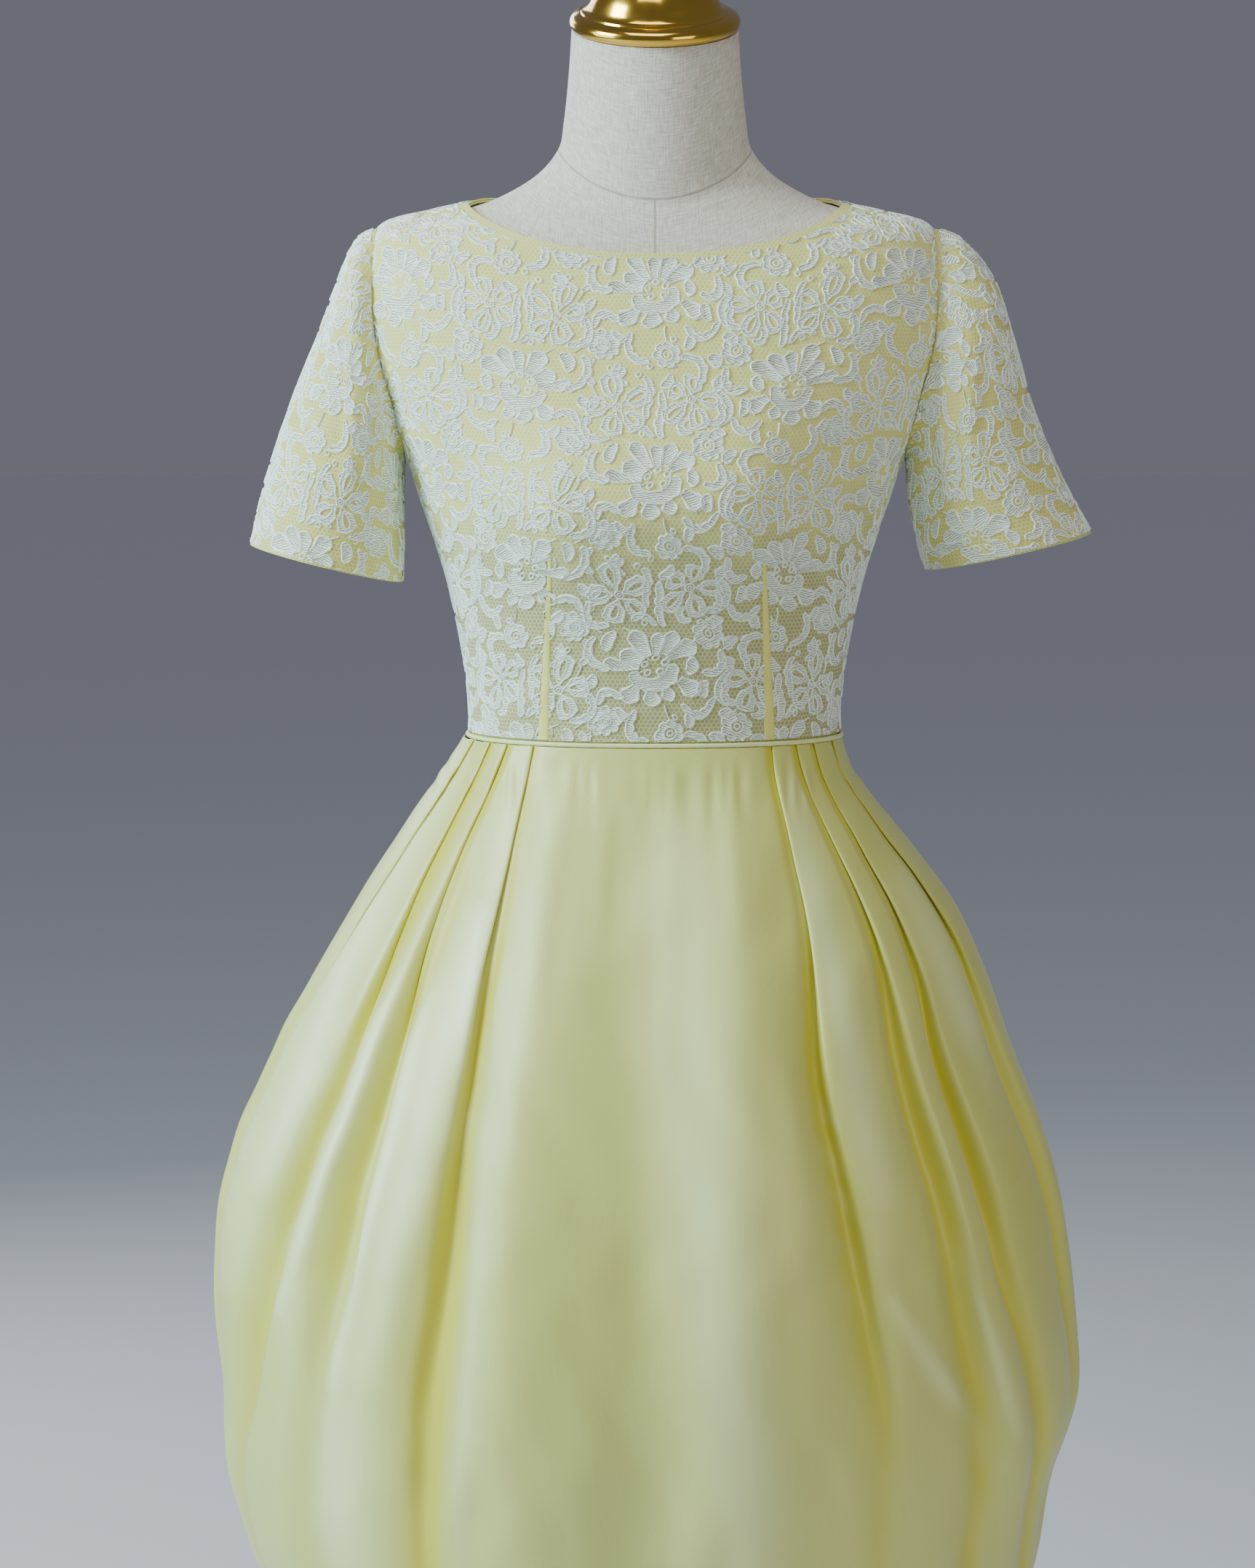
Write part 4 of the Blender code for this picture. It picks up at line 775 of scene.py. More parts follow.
def addMotif(motifs, points, level, closed=False):
    faces = gridFaces(*points.shape[:2], closed=closed)
    flat = points.reshape(-1, 2)
    level = np.broadcast_to(level, points.shape[:2]).reshape(-1)
    if flatTurn(flat, faces) < 0:
        faces = faces[:, ::-1]
    start = sum(len(motif["points"]) for motif in motifs)
    # Each motif lies a little higher or lower than its neighbours, so that none lie in one plane
    height = heightSteps[level] + np.where(level > 0, len(motifs) % lace["layers"] * lace["layer"], 0)
    # Its rows of thread run nearly level, with a slant of their own
    slant = lace["rowSlant"] * math.sin(2.4 * len(motifs))
    rows = sideBySide(flat[:, 1] * math.cos(slant) + flat[:, 0] * math.sin(slant), flat[:, 0])
    motifs.append({"points": flat, "height": height, "faces": faces + start,
                   "cord": level[faces].min(axis=1) < 2, "uv": rows})


def addPatch(motifs, place, wide, long, across=2, along=2):
    # A four-sided patch: place(s, t) gives its points, s from base to tip and t across
    s = borderSteps(along, np.array(lace["thread"] / long))
    t = borderSteps(across, np.array(lace["thread"] / wide))
    level = np.minimum(borderIndex(len(s))[:, None], borderIndex(len(t))[None, :])
    addMotif(motifs, sideBySide(*place(*np.meshgrid(s, t, indexing="ij"))), level)


def addBand(motifs, outer, inner):
    # A closed ring between two outlines
    reach = np.linalg.norm(outer - inner, axis=-1)
    steps = borderSteps(1, lace["thread"] / np.maximum(reach, 0.1)).T[..., None]
    points = outer[None] * (1 - steps) + inner[None] * steps
    addMotif(motifs, points, borderIndex(len(steps))[:, None], closed=True)


def addRing(motifs, centre, radius, hole, sides=9):
    circle = circlePlaces(sides)[1]
    points = np.array([reach * circle + np.array(centre) for reach in (radius, (radius + hole) / 2, hole)])
    addMotif(motifs, points, np.array([0, 1, 0])[:, None], closed=True)


def addRosette(motifs, centre, reach, lobes, hole, spin):
    # A small round flower: one scalloped band round a ring with a knot in it
    angle, shape = circlePlaces(lobes * 6, spin)
    edge = reach * (0.80 + 0.20 * np.abs(np.sin(lobes * (angle - spin) / 2)) ** 0.6
                    + 0.05 * np.sin(2 * angle + spin))
    addBand(motifs, centre + edge[:, None] * shape, centre + hole * shape)
    addRing(motifs, centre, 0.74 * hole, 0.36 * hole, 8)


def addLobes(motifs, centre, count, base, reach, width, spin, lean):
    # Broad lobed petals that stand apart, each a band round a narrow opening
    a = circlePlaces(24)[0]
    away = (a + math.pi) % fullTurn - math.pi
    for k in range(count):
        turn = spin + fullTurn * k / count + 0.12 * math.sin(3.1 * k)
        length = (reach - base) * (1 + 0.12 * math.sin(2.1 * k + 0.5) + 0.14 * math.cos(turn - lean))
        notch = 0.10 * length * np.exp(-(away / 0.30) ** 2) - 0.05 * length * np.cos(5 * a)
        x = base + length / 2 * (1 + np.cos(a)) - notch
        y = width / 2 * np.sin(a) * (0.78 + 0.36 * np.cos(a)) * (1 + 0.07 * np.cos(7 * a))
        holeX = base + length * (0.50 + 0.26 * np.cos(a))
        holeY = 0.13 * width * np.sin(a) * (0.8 + 0.3 * np.cos(a))
        cos, sin = math.cos(turn), math.sin(turn)
        addBand(motifs, *(sideBySide(centre[0] + px * cos - py * sin, centre[1] + px * sin + py * cos)
                          for px, py in ((x, y), (holeX, holeY))))


def addCrescent(motifs, centre, inner, thick, start, sweep, bumps, squash):
    # The full side of a carnation: a band, thickest at its middle, scalloped outside
    def place(s, t):
        depth = thick * np.sin(math.pi * (0.08 + 0.84 * s)) ** 0.7 + scallop(s, bumps, 1.8)
        return atAngle(centre, inner + depth * t, start + sweep * s, squash)

    addPatch(motifs, place, thick, abs(sweep) * inner, across=3, along=int(3.2 * bumps))


def addFan(motifs, centre, count, base, length, width, start, sweep, squash):
    # Narrow frilled petals side by side with net between them
    for k in range(count):
        middle = start + sweep * (k + 0.5) / count
        tip = length * (1 + 0.15 * math.sin(2.7 * k + 0.4))
        broad = width * (1 + 0.20 * math.sin(1.9 * k + 1.0))

        def place(s, t, middle=middle, tip=tip, broad=broad, k=k):
            side = 2 * t - 1
            reach = base + (tip * (1 - 0.14 * side**4 - 0.04 * side**2) - base) * s
            reach = reach + scallop(t, 3, 1.0) * s**3
            spread = broad / 2 * (0.42 + 0.66 * s**1.3) / np.maximum(reach, 1.0)
            return atAngle(centre, reach, middle + spread * side + 0.05 * np.sin(2.0 * k) * s, squash)

        addPatch(motifs, place, width, tip - base, across=4, along=2)


def addRibbon(motifs, spots, width, bumps):
    # A scalloped band along a bend through four spots, narrower at both ends
    p0, p1, p2, p3 = np.reshape(spots, (4, 2)).astype(float)
    long = float(np.linalg.norm(p1 - p0) + np.linalg.norm(p2 - p1) + np.linalg.norm(p3 - p2))

    def place(s, t):
        u = s[..., None]
        spot = (1 - u) ** 3 * p0 + 3 * (1 - u) ** 2 * u * p1 + 3 * (1 - u) * u**2 * p2 + u**3 * p3
        run = 3 * (1 - u) ** 2 * (p1 - p0) + 6 * (1 - u) * u * (p2 - p1) + 3 * u**2 * (p3 - p2)
        side = unit(sideBySide(-run[..., 1], run[..., 0]))
        reach = width / 2 * (0.35 + 0.65 * np.sin(math.pi * (0.04 + 0.92 * s)) ** 0.8)
        out = reach * (2 * t - 1) + scallop(s, bumps, 1.5) * t
        return spot[..., 0] + side[..., 0] * out, spot[..., 1] + side[..., 1] * out

    addPatch(motifs, place, width, long, across=1, along=max(10, int(4 * bumps)))


def addLeaf(motifs, start, end, width, bend, bumps):
    # A leaf from stalk to tip, bent sideways, with a scalloped edge on both sides
    start, end = np.array(start, float), np.array(end, float)
    run = end - start
    long = float(np.hypot(*run))
    side = np.array([-run[1], run[0]]) / long

    def place(s, t):
        reach = width / 2 * np.sin(math.pi * (0.05 + 0.90 * s) ** 0.85) ** 0.8
        reach = reach + scallop(s, bumps, 1.1) * 0.8
        out = bend * np.sin(math.pi * s) + reach * (2 * t - 1)
        return start[0] + run[0] * s + side[0] * out, start[1] + run[1] * s + side[1] * out

    addPatch(motifs, place, width, long, across=1, along=max(4, int(2.5 * bumps)))


def addBars(motifs, spots):
    # Single threads that tie the motifs together across the net
    for x0, y0, x1, y1 in spots:
        run = np.array([x1 - x0, y1 - y0], float)
        side = np.array([-run[1], run[0]]) / np.hypot(*run)
        s = np.linspace(0, 1, 5)[:, None, None]
        t = np.array([-1.0, 0.0, 1.0])[None, :, None]
        sag = 0.06 * np.hypot(*run) * np.sin(math.pi * s)
        points = np.array([x0, y0]) + run * s + side * (0.45 * lace["thread"] * t + sag)
        addMotif(motifs, points, np.array([0, 1, 0])[None, :])


def laceRepeat():
    # One repeat, 86 mm wide and 126 mm tall: a lopsided carnation, two open blossoms, three round
    # flowers, and the ribbons, leaves, ties and dots between them
    motifs = []
    addCrescent(motifs, (-1.0, -1.5), 8.5, 10.0, 3.2, 3.3, 6, 0.86)
    addFan(motifs, (0, 0), 6, 9.0, 27.5, 11.0, 0.35, 3.00, 0.88)
    addFan(motifs, (0, 0), 5, 18.5, 30.5, 12.0, 3.75, 2.80, 0.88)
    for k in range(5):
        addRing(motifs, (6.3 * math.cos(1.26 * k + 0.3), 5.6 * math.sin(1.26 * k + 0.3)), 2.7, 1.3, 7)
    addBars(motifs, [(4, 2, 10, 7), (-3, 4, -7, 9), (-5, -2, -10, -4), (2, -5, 4, -10), (5, -1, 10, -2)])
    for *centre, reach, width, spin, lean in ((-23, 47, 22, 17.5, 0.6, 2), (21, 52, 19.5, 16, 0.1, 5)):
        addLobes(motifs, centre, 5, 3.6, reach, width, spin, lean)
        addRing(motifs, centre, 3.5, 2.3, 9)
        addRing(motifs, centre, 1.7, 0.7, 6)
    for *centre, reach, lobes, spin in (
            (34, 22, 10.5, 8, 0.2), (-33, -36, 11, 9, 0.5), (8, -45, 9.5, 7, 0.1)):
        addRosette(motifs, np.array(centre, float), reach, lobes, 3.4, spin)
    for *spots, width, bumps in (
            (29, -2, 38, -8, 46, 0, 40, 12, 5.4, 4), (-28, 0, -38, -4, -47, 8, -38, 18, 5.4, 4),
            (-21, -20, -28, -14, -38, -14, -38, -26, 5, 3), (18, -24, 24, -36, 36, -32, 39, -20, 5.2, 4),
            (6, 27, 0, 38, 8, 44, 2, 58, 5.2, 4), (-9, 68, 0, 60, -8, 50, -5, 40, 4.6, 4),
            (-43, 44, -50, 32, -42, 22, -30, 26, 5, 4), (38, 36, 50, 44, 46, 56, 37, 62, 5.2, 4),
            (-14, -28, -22, -38, -16, -50, -4, -49, 5, 4), (17, -46, 30, -42, 35, -52, 27, -62, 5.2, 4),
            (0, 28, -4, 38, -15, 36, -16, 30, 4.2, 3), (48, -12, 41, -18, 46, -28, 54, -26, 4.8, 3),
            (-40, -46, -48, -50, -46, -62, -38, -64, 4.8, 3), (24, 30, 16, 28, 14, 36, 20, 38, 4.4, 2),
            (-24, -48, -30, -54, -26, -64, -18, -62, 4.8, 3)):
        addRibbon(motifs, spots, width, bumps)
    for *ends, width, bend, bumps in (
            (31, -8, 33, -20, 7, -1.5, 2), (-31, 9, -26, 22, 7.5, 1.5, 2), (-47, 22, -55, 30, 7, 1.5, 2),
            (44, 12, 52, 20, 7, 1.5, 2), (22, -30, 20, -40, 6, 1, 2), (-18, -34, -26, -26, 5.5, 1, 2),
            (2, 60, 10, 68, 6, -1.5, 2), (-40, 48, -48, 56, 6, 1, 2), (42, -30, 52, -38, 6.5, 1.5, 2),
            (-42, -16, -52, -10, 6.5, 1, 2), (-20, -52, -30, -56, 6, 1, 2), (38, 60, 44, 70, 6, 1, 2)):
        addLeaf(motifs, ends[:2], ends[2:], width, bend, bumps)
    addBars(motifs, [(28, 22, 22, 14), (-24, -38, -17, -30), (8, -36, 6, -26), (-22, 25, -12, 20),
                     (34, 32, 28, 40), (-44, -36, -52, -42), (-2, 62, -6, 68), (42, 12, 50, 16),
                     (-46, 0, -50, -8), (14, -52, 8, -54), (0, 28, -4, 36), (24, -20, 30, -14)])
    for centre in ((-8, 30), (46, 18), (-44, -24), (12, -34), (38, 66), (-30, -52), (-12, -56), (30, 38),
                   (-4, 74)):
        addRing(motifs, centre, 2.3, 1.1, 8)
    return {key: np.concatenate([motif[key] for motif in motifs]) for key in motifs[0]}


repeatMotifs = laceRepeat()
# Darts, as flat millimetres from base to point and half the width at the base
darts = {"front": [(-74, -2, -68, 128, 3.6), (76, -2, 70, 126, 3.6)],
         "back_left": [(72, -2, 70, 118, 3.2)], "back_right": [(-72, -2, -70, 118, 3.2)]}


def insideDarts(lines, across, up):
    look = {"below": -0.05, "taper": 0.55, "overlap": 0.3}
    inside = np.zeros(across.shape, bool)
    for *line, wide in lines:
        part, away = lineShare(line, across, up)
        clear = wide * (1 - look["taper"] * np.clip(part, 0, 1)) - look["overlap"]
        inside |= (part > look["below"]) & (part < 1) & (away(part) < clear)
    return inside


def bodiceLimit(side):
    def limit(row, col):
        # What lies past the hem, the neckline, a side seam or the zip is brought back to it
        turn = halfTurn - col if side else col
        ring = np.clip(row, bodice["waist"], lace["topRing"])
        edge = edgeTurn(ring)
        inner = zipTurn(ring) + lace["edge"] if side else -edge
        sideways = side * col if side else col
        heldCol = np.clip(sideways, inner, edge - lace["edge"])
        heldRow = np.clip(row, bodice["laceHem"] + lace["hemEdge"], neckRing(turn) - lace["neckMargin"])
        outside = (np.abs(heldCol - sideways) > lace["least"]) | (np.abs(heldRow - row) > lace["least"])
        return heldRow, side * heldCol if side else heldCol, outside
    return limit


def sleeveLimit(row, col):
    heldRow = np.clip(row, lace["cuffEdge"], lace["headEdge"])
    heldCol = np.clip(col, lace["seamEdge"] - halfTurn, halfTurn - lace["seamEdge"])
    return heldRow, heldCol, (heldRow != row) | (heldCol != col)


def layLace(part, panel, limit, shift, rows):
    # The repeat set out in a half drop over the panel, every other column mirrored, and clipped at
    # the panel's edges and darts
    repeats = []
    for i in range(-lace["columns"], lace["columns"] + 1):
        for j in range(-1, rows):
            flip = -1 if i % 2 else 1
            middle = np.array([i * lace["pitch"] + shift[0],
                               lace["base"] + shift[1] + (j + 0.5 * (i % 2)) * lace["rise"]])
            count = len(repeats) * len(repeatMotifs["points"])
            repeats.append((repeatMotifs["points"] * (flip, 1) + middle, repeatMotifs["height"],
                            repeatMotifs["faces"][:, ::flip] + count, repeatMotifs["cord"],
                            repeatMotifs["uv"] + lace["uvShift"] * (i + 3 * j)))
    flat, height, faces, cord, uv = (np.concatenate(parts) for parts in zip(*repeats))
    # The net has shifted a little, so no two repeats are quite the same
    flat = flat + lace["waver"] * sideBySide(np.sin(flat[:, 1] / 9 + 1.7 * np.sin(flat[:, 0] / 23)),
                                             np.sin(flat[:, 0] / 8 + 1.3 * np.sin(flat[:, 1] / 19)))
    near = ((flat[:, 0] > panel["across"].min()) & (flat[:, 0] < panel["across"].max())
            & (flat[:, 1] > panel["up"].min()) & (flat[:, 1] < panel["up"].max()))
    row, col = np.zeros(len(flat)), np.zeros(len(flat))
    row[near], col[near] = findFlat(panel, flat[near, 0], flat[near, 1])
    missed = np.ones(len(flat), bool)
    found = flatPlaces(panel, row[near], col[near])
    missed[near] = np.linalg.norm(found - flat[near], axis=-1) > lace["missed"]
    heldRow, heldCol, outside = limit(row, col)
    outside |= missed
    keep = ~outside[faces].all(axis=1) & ~missed[faces].any(axis=1)
    keep &= ~insideDarts(darts.get(part, ()), *flat[faces].mean(axis=1).T)
    faces, cord = faces[keep], cord[keep]
    used, faces = np.unique(faces, return_inverse=True)
    spots = panel["surface"](heldRow[used], heldCol[used], bodice["face"] + height[used])
    faces = faces.reshape(-1, 4)[:, ::-1 if panel["flip"] else 1]
    piece = newPiece(f"laceFlowers_{part}", spots, faces, clothwork, uv=uv[used])
    piece.data.materials.append(outlineThread)
    piece.data.polygons.foreach_set("material_index", cord.astype(np.int32))
    print(piece.name, len(faces) * 2, "triangles")
    return piece


def layDarts(part, panel, limit):
    # Each dart is a narrow tuck of net and taffeta, slightly proud, tapering to its point
    look = {"proud": 0.00055, "tilt": 0.0001, "overlap": 0.5, "taper": 0.72, "steps": 44,
            "lips": (-1.0, -0.8, -0.25, 0.3, 0.85, 1.0)}
    points, faces, uv = [], [], []
    for across0, up0, across1, up1, wide in darts[part]:
        s = np.linspace(0, 1, look["steps"])[:, None]
        t = np.array(look["lips"])[None, :]
        run = np.array([across1 - across0, up1 - up0], float)
        side = np.array([-run[1], run[0]]) / np.hypot(*run)
        reach = (wide + look["overlap"]) * (1 - look["taper"] * s)
        across = across0 + run[0] * s + side[0] * t * reach
        up = up0 + run[1] * s + side[1] * t * reach
        row, col, _ = limit(*findFlat(panel, across, up))
        rise = np.where(np.abs(t) > 0.9, -look["tilt"], look["proud"] - look["tilt"] * t)
        rise = rise * (0.35 + 0.65 * np.sqrt(1 - s * 0.98))
        flat = sideBySide(across, up).reshape(-1, 2)
        grid = gridFaces(*row.shape)
        if (flatTurn(flat, grid) < 0) != panel["flip"]:
            grid = grid[:, ::-1]
        faces.append(grid + sum(len(earlier) for earlier in points))
        points.append(panel["surface"](row, col, bodice["face"] + rise).reshape(-1, 3))
        uv.append(flat)
    points, faces, uv = (np.concatenate(items) for items in (points, faces, uv))
    return newPiece(f"dartTucks_{part}", points, faces, net, uv=uv,
                    marks={"dart": np.ones(len(points))})


for part, side in (("front", 0), ("back_left", 1), ("back_right", -1)):
    panel = panelBack if side else panelFront
    layLace(part, panel, bodiceLimit(side), (0, 0), 4)
    layDarts(part, panel, bodiceLimit(side))
for side, shift in (("left", (16, 24)), ("right", (-20, 8))):
    layLace(f"sleeve_{side}", panelSleeve[side], sleeveLimit, shift, 3)
print("lace laid")


# The skirt's bell by height, half the width, its shift, front and back, and how square it is; then
# how far a pleat is open at each height, and how wide and deep it falls
skirtRows = thousandths([
    (1024, 122, -1, -91.5, 83.5, 0.92), (998, 135.3, -4, -101, 94, 0.93),
    (960, 162.7, -2.5, -123, 119, 0.95), (921, 190.2, 0, -148, 146, 0.97),
    (882, 212.7, -1, -172, 171, 0.98), (824, 238.3, -7, -201, 203, 1), (746, 269.2, -9, -227, 230, 1),
    (668, 281.8, -8, -239, 243, 1), (590, 282.6, -3, -239, 243, 1), (530, 272.5, -9, -231, 235, 1),
    (463, 255, -4, -216, 220, 1), (398, 229, -2, -195, 199, 1)], 1)
foldRows = thousandths([
    (1024, 0, 6, 3), (985, 60, 9, 5), (945, 240, 15, 8.5), (890, 520, 23, 13), (830, 780, 30, 16.5),
    (740, 920, 35, 18), (660, 980, 38, 14), (600, 1000, 38, 10), (500, 1000, 36, 7), (398, 1000, 32, 5)])
# Each pleat: its angle from the centre in degrees at each of these heights, the width of its tuck,
# its depth above and below the knee as a share, which way it opens and how broadly
foldHeights = (1021, 945, 830, 700, 620, 550, 470, 398)
pleats = {
    "frontRight": [
        ((37.5, 32, 30.4, 30.2, 32.5, 33.5, 34, 34), 0.01, 0.85, 0.75, -1, 0.75),
        ((48.8, 45.8, 41.8, 41.6, 45.5, 49, 51, 52), 0.01, 0.95, 0.35, 1, 1),
        ((58, 54.5, 51.5, 55.5, 61.5, 69.5, 73.5, 75), 0.009, 1.1, 0.6, 1, 1),
        ((71, 70, 78, 83, 85, 86, 86.5, 86.8), 0.009, 0.6, 0.3, 1, 1)],
    "frontLeft": [
        ((36, 30.5, 27.3, 29.8, 32.5, 33.5, 34, 34.5), 0.01, 1, 0.45, -1, 0.62),
        ((46.5, 44.4, 44.6, 47.5, 50.5, 53.5, 55, 56.5), 0.009, 1.1, 0.8, -1, 0.85),
        ((56, 53.2, 53.6, 58, 64, 70, 73.5, 75), 0.009, 1.1, 0.9, -1, 0.85),
        ((70.5, 69.6, 77, 83, 85, 86, 86.5, 86.8), 0.01, 0.8, 0.5, -1, 1)],
    "back": [
        ((38, 34, 32.5, 32.5, 34.5, 36, 37, 37), 0.01, 0.9, 0.5, -1, 1),
        ((51, 47.5, 45, 46, 49.5, 53, 56, 57), 0.01, 1, 0.9, -1, 1),
        ((64, 61.5, 60.5, 64, 69, 73, 76, 77), 0.01, 0.9, 0.9, -1, 0.9)]}
skirt = {"top": 1.0212, "fine": 0.985, "hem": 0.400, "zipFoot": 0.920, "foldStep": 0.0010, "wall": 0.0008,
         "rowsAbove": 15, "rowsBelow": 89, "crumple": 0.0008, "pucker": 0.0005, "puckerFoot": 0.975,
         "softFrom": 0.86, "softOver": 0.40, "softSteps": 30, "knee": 0.58, "kneeSpan": 0.14,
         "crest": 0.10, "least": 0.006, "most": 0.66}
# Soft creases of the satin: across and height where each starts and ends, its width and its rise
skirtCreases = {
    "front": thousandths([
        (-55, 1015, -75, 860, 7, 1.6), (-30, 1018, -36, 900, 6, 1.1), (12, 1018, 6, 820, 9, 1.2),
        (45, 1016, 52, 900, 7, 1.2), (28, 1016, 30, 960, 5, 0.9), (-10, 1016, -14, 965, 5, 0.8),
        (-85, 860, -105, 560, 15, 3), (80, 880, 100, 600, 15, 2.8), (-40, 780, -45, 470, 22, 2.2),
        (30, 760, 40, 430, 22, 2), (-150, 760, -195, 520, 12, 2.6), (165, 760, 205, 520, 12, 2.6),
        (-215, 700, -240, 480, 10, 2), (225, 700, 235, 460, 10, 2.4), (110, 640, 150, 420, 11, 2.2),
        (-120, 620, -150, 410, 11, 2.2), (60, 560, 75, 405, 12, 1.6), (-65, 560, -80, 405, 12, 1.6),
        (-66, 1000, -98, 360, 26, 6.5), (-4, 1000, -20, 360, 28, -6.2), (46, 1000, 74, 360, 24, 6),
        (10, 640, -20, 420, 26, -4), (-185, 700, -215, 440, 20, -4), (185, 700, 215, 440, 20, -4),
        (-200, 560, -120, 440, 16, 3), (200, 570, 130, 430, 16, 3.4)]),
    "back": thousandths([
        (35, 1015, 45, 880, 7, 1.4), (60, 900, 75, 600, 15, 2.6), (150, 760, 190, 520, 12, 2.6),
        (215, 700, 235, 470, 10, 2.2), (110, 640, 140, 410, 12, 2), (45, 600, 50, 410, 15, 1.6)])}
# Longer creases that bend: the places they pass, their width and rise, all in millimetres, and a
# painted tone from -1, a pale painted highlight on a crest, to 1, painted deep yellow shade in a hollow
skirtStrokes = {
    "front": [
        ((-122, 1014, -163, 940, -200, 874, -226, 808, -256, 735), 8.5, 2, -0.75),
        ((-143, 885, -160, 808, -170, 767, -193, 680, -205, 620), 5, 1.4, -0.9),
        ((-160, 900, -176, 850, -194, 797, -220, 730, -240, 660), 5, 1.4, -0.9),
        ((-225, 690, -205, 620, -200, 540, -200, 480), 28, 3, -0.55),
        ((-110, 930, -108, 852, -111, 705, -122, 560, -128, 440), 9, 2.2, -0.5),
        ((-105, 930, -137, 815, -166, 705, -188, 630), 14, 1, -0.6),
        ((-128, 780, -136, 700, -146, 620, -150, 520, -148, 420), 13, -2, 0.7),
        ((14, 990, 22, 860, 34, 715, 52, 600, 60, 480), 26, 0.6, -0.5),
        ((-60, 1005, -72, 940, -78, 880), 8, 1.4, -0.3),
        ((-195, 930, -235, 840, -262, 760, -276, 660), 24, 0, -0.5),
        ((-86, 1012, -98, 950, -112, 890, -128, 820), 7.5, 0.4, -0.6),
        ((88, 1005, 97, 950, 110, 890, 128, 810, 146, 740), 10, 0.6, -0.5),
        ((156, 945, 186, 880, 208, 825, 224, 770), 9, 0.6, -0.45),
        ((98, 806, 106, 800, 116, 792), 3, 1.4, -0.5), ((100, 782, 110, 770, 120, 766), 2.8, 1.4, -0.5),
        ((106, 756, 116, 748, 126, 738), 3.2, 1.4, -0.4), ((108, 728, 118, 716, 128, 712), 3, 1.2, -0.4),
        ((110, 700, 120, 690, 130, 676), 3.4, 1.2, -0.3),
        ((-116, 998, -130, 966, -143.5, 936, -156, 911, -172, 870, -192, 835), 4.2, -0.6, 1.1),
        ((-117.5, 955, -122.6, 936, -131, 913, -141, 886, -149, 866, -158, 840), 3.6, -0.6, 1.1),
        ((-87, 955, -90.5, 933, -96.3, 902, -104.8, 869, -111.5, 836, -118, 800), 3.6, -0.6, 1),
        ((128, 1007, 168, 968, 206, 900, 228, 835), 8, -1.4, 0.9),
        ((205, 840, 245, 730, 262, 640), 14, -1, 0.4),
        ((145, 690, 175, 640, 205, 600, 222, 560), 6, 2, -0.45),
        ((185, 720, 212, 650, 232, 580), 5.5, 1.8, -0.4), ((78, 960, 92, 850, 104, 780), 12, -0.6, 0.15)],
    "back": [
        ((128, 1007, 165, 950, 205, 860, 235, 760), 10, 1.6, -0.4),
        ((70, 950, 82, 820, 92, 680, 100, 520), 16, 2, -0.3),
        ((125, 800, 150, 700, 165, 600, 165, 480), 13, -1.8, 0.4),
        ((30, 900, 32, 760, 36, 600), 14, -1, 0.3)]}


def skirtBase(z, turn, depth):
    wide, shift, frontY, backY, square = curveThrough(skirtRows, z)
    reach = np.where(np.abs(turn) <= quarterTurn, -frontY, backY)
    side, face = np.sin(turn), np.cos(turn)

    def power(value, p):
        return np.sign(value) * np.abs(value) ** p

    out = unit(sideBySide(power(side, 2 - square) / wide, -power(face, 2 - square) / reach, 0 * side))
    base = sideBySide(shift * side**2 + wide * power(side, square), -reach * power(face, square), z)
    return base + out * depth[..., None], out


def turnRate(z, turn):
    step = 0.01
    ahead, behind = (skirtBase(z, turn + way, 0 * turn)[0] for way in (step, -step))
    return np.linalg.norm(ahead - behind, axis=-1) / (2 * step)


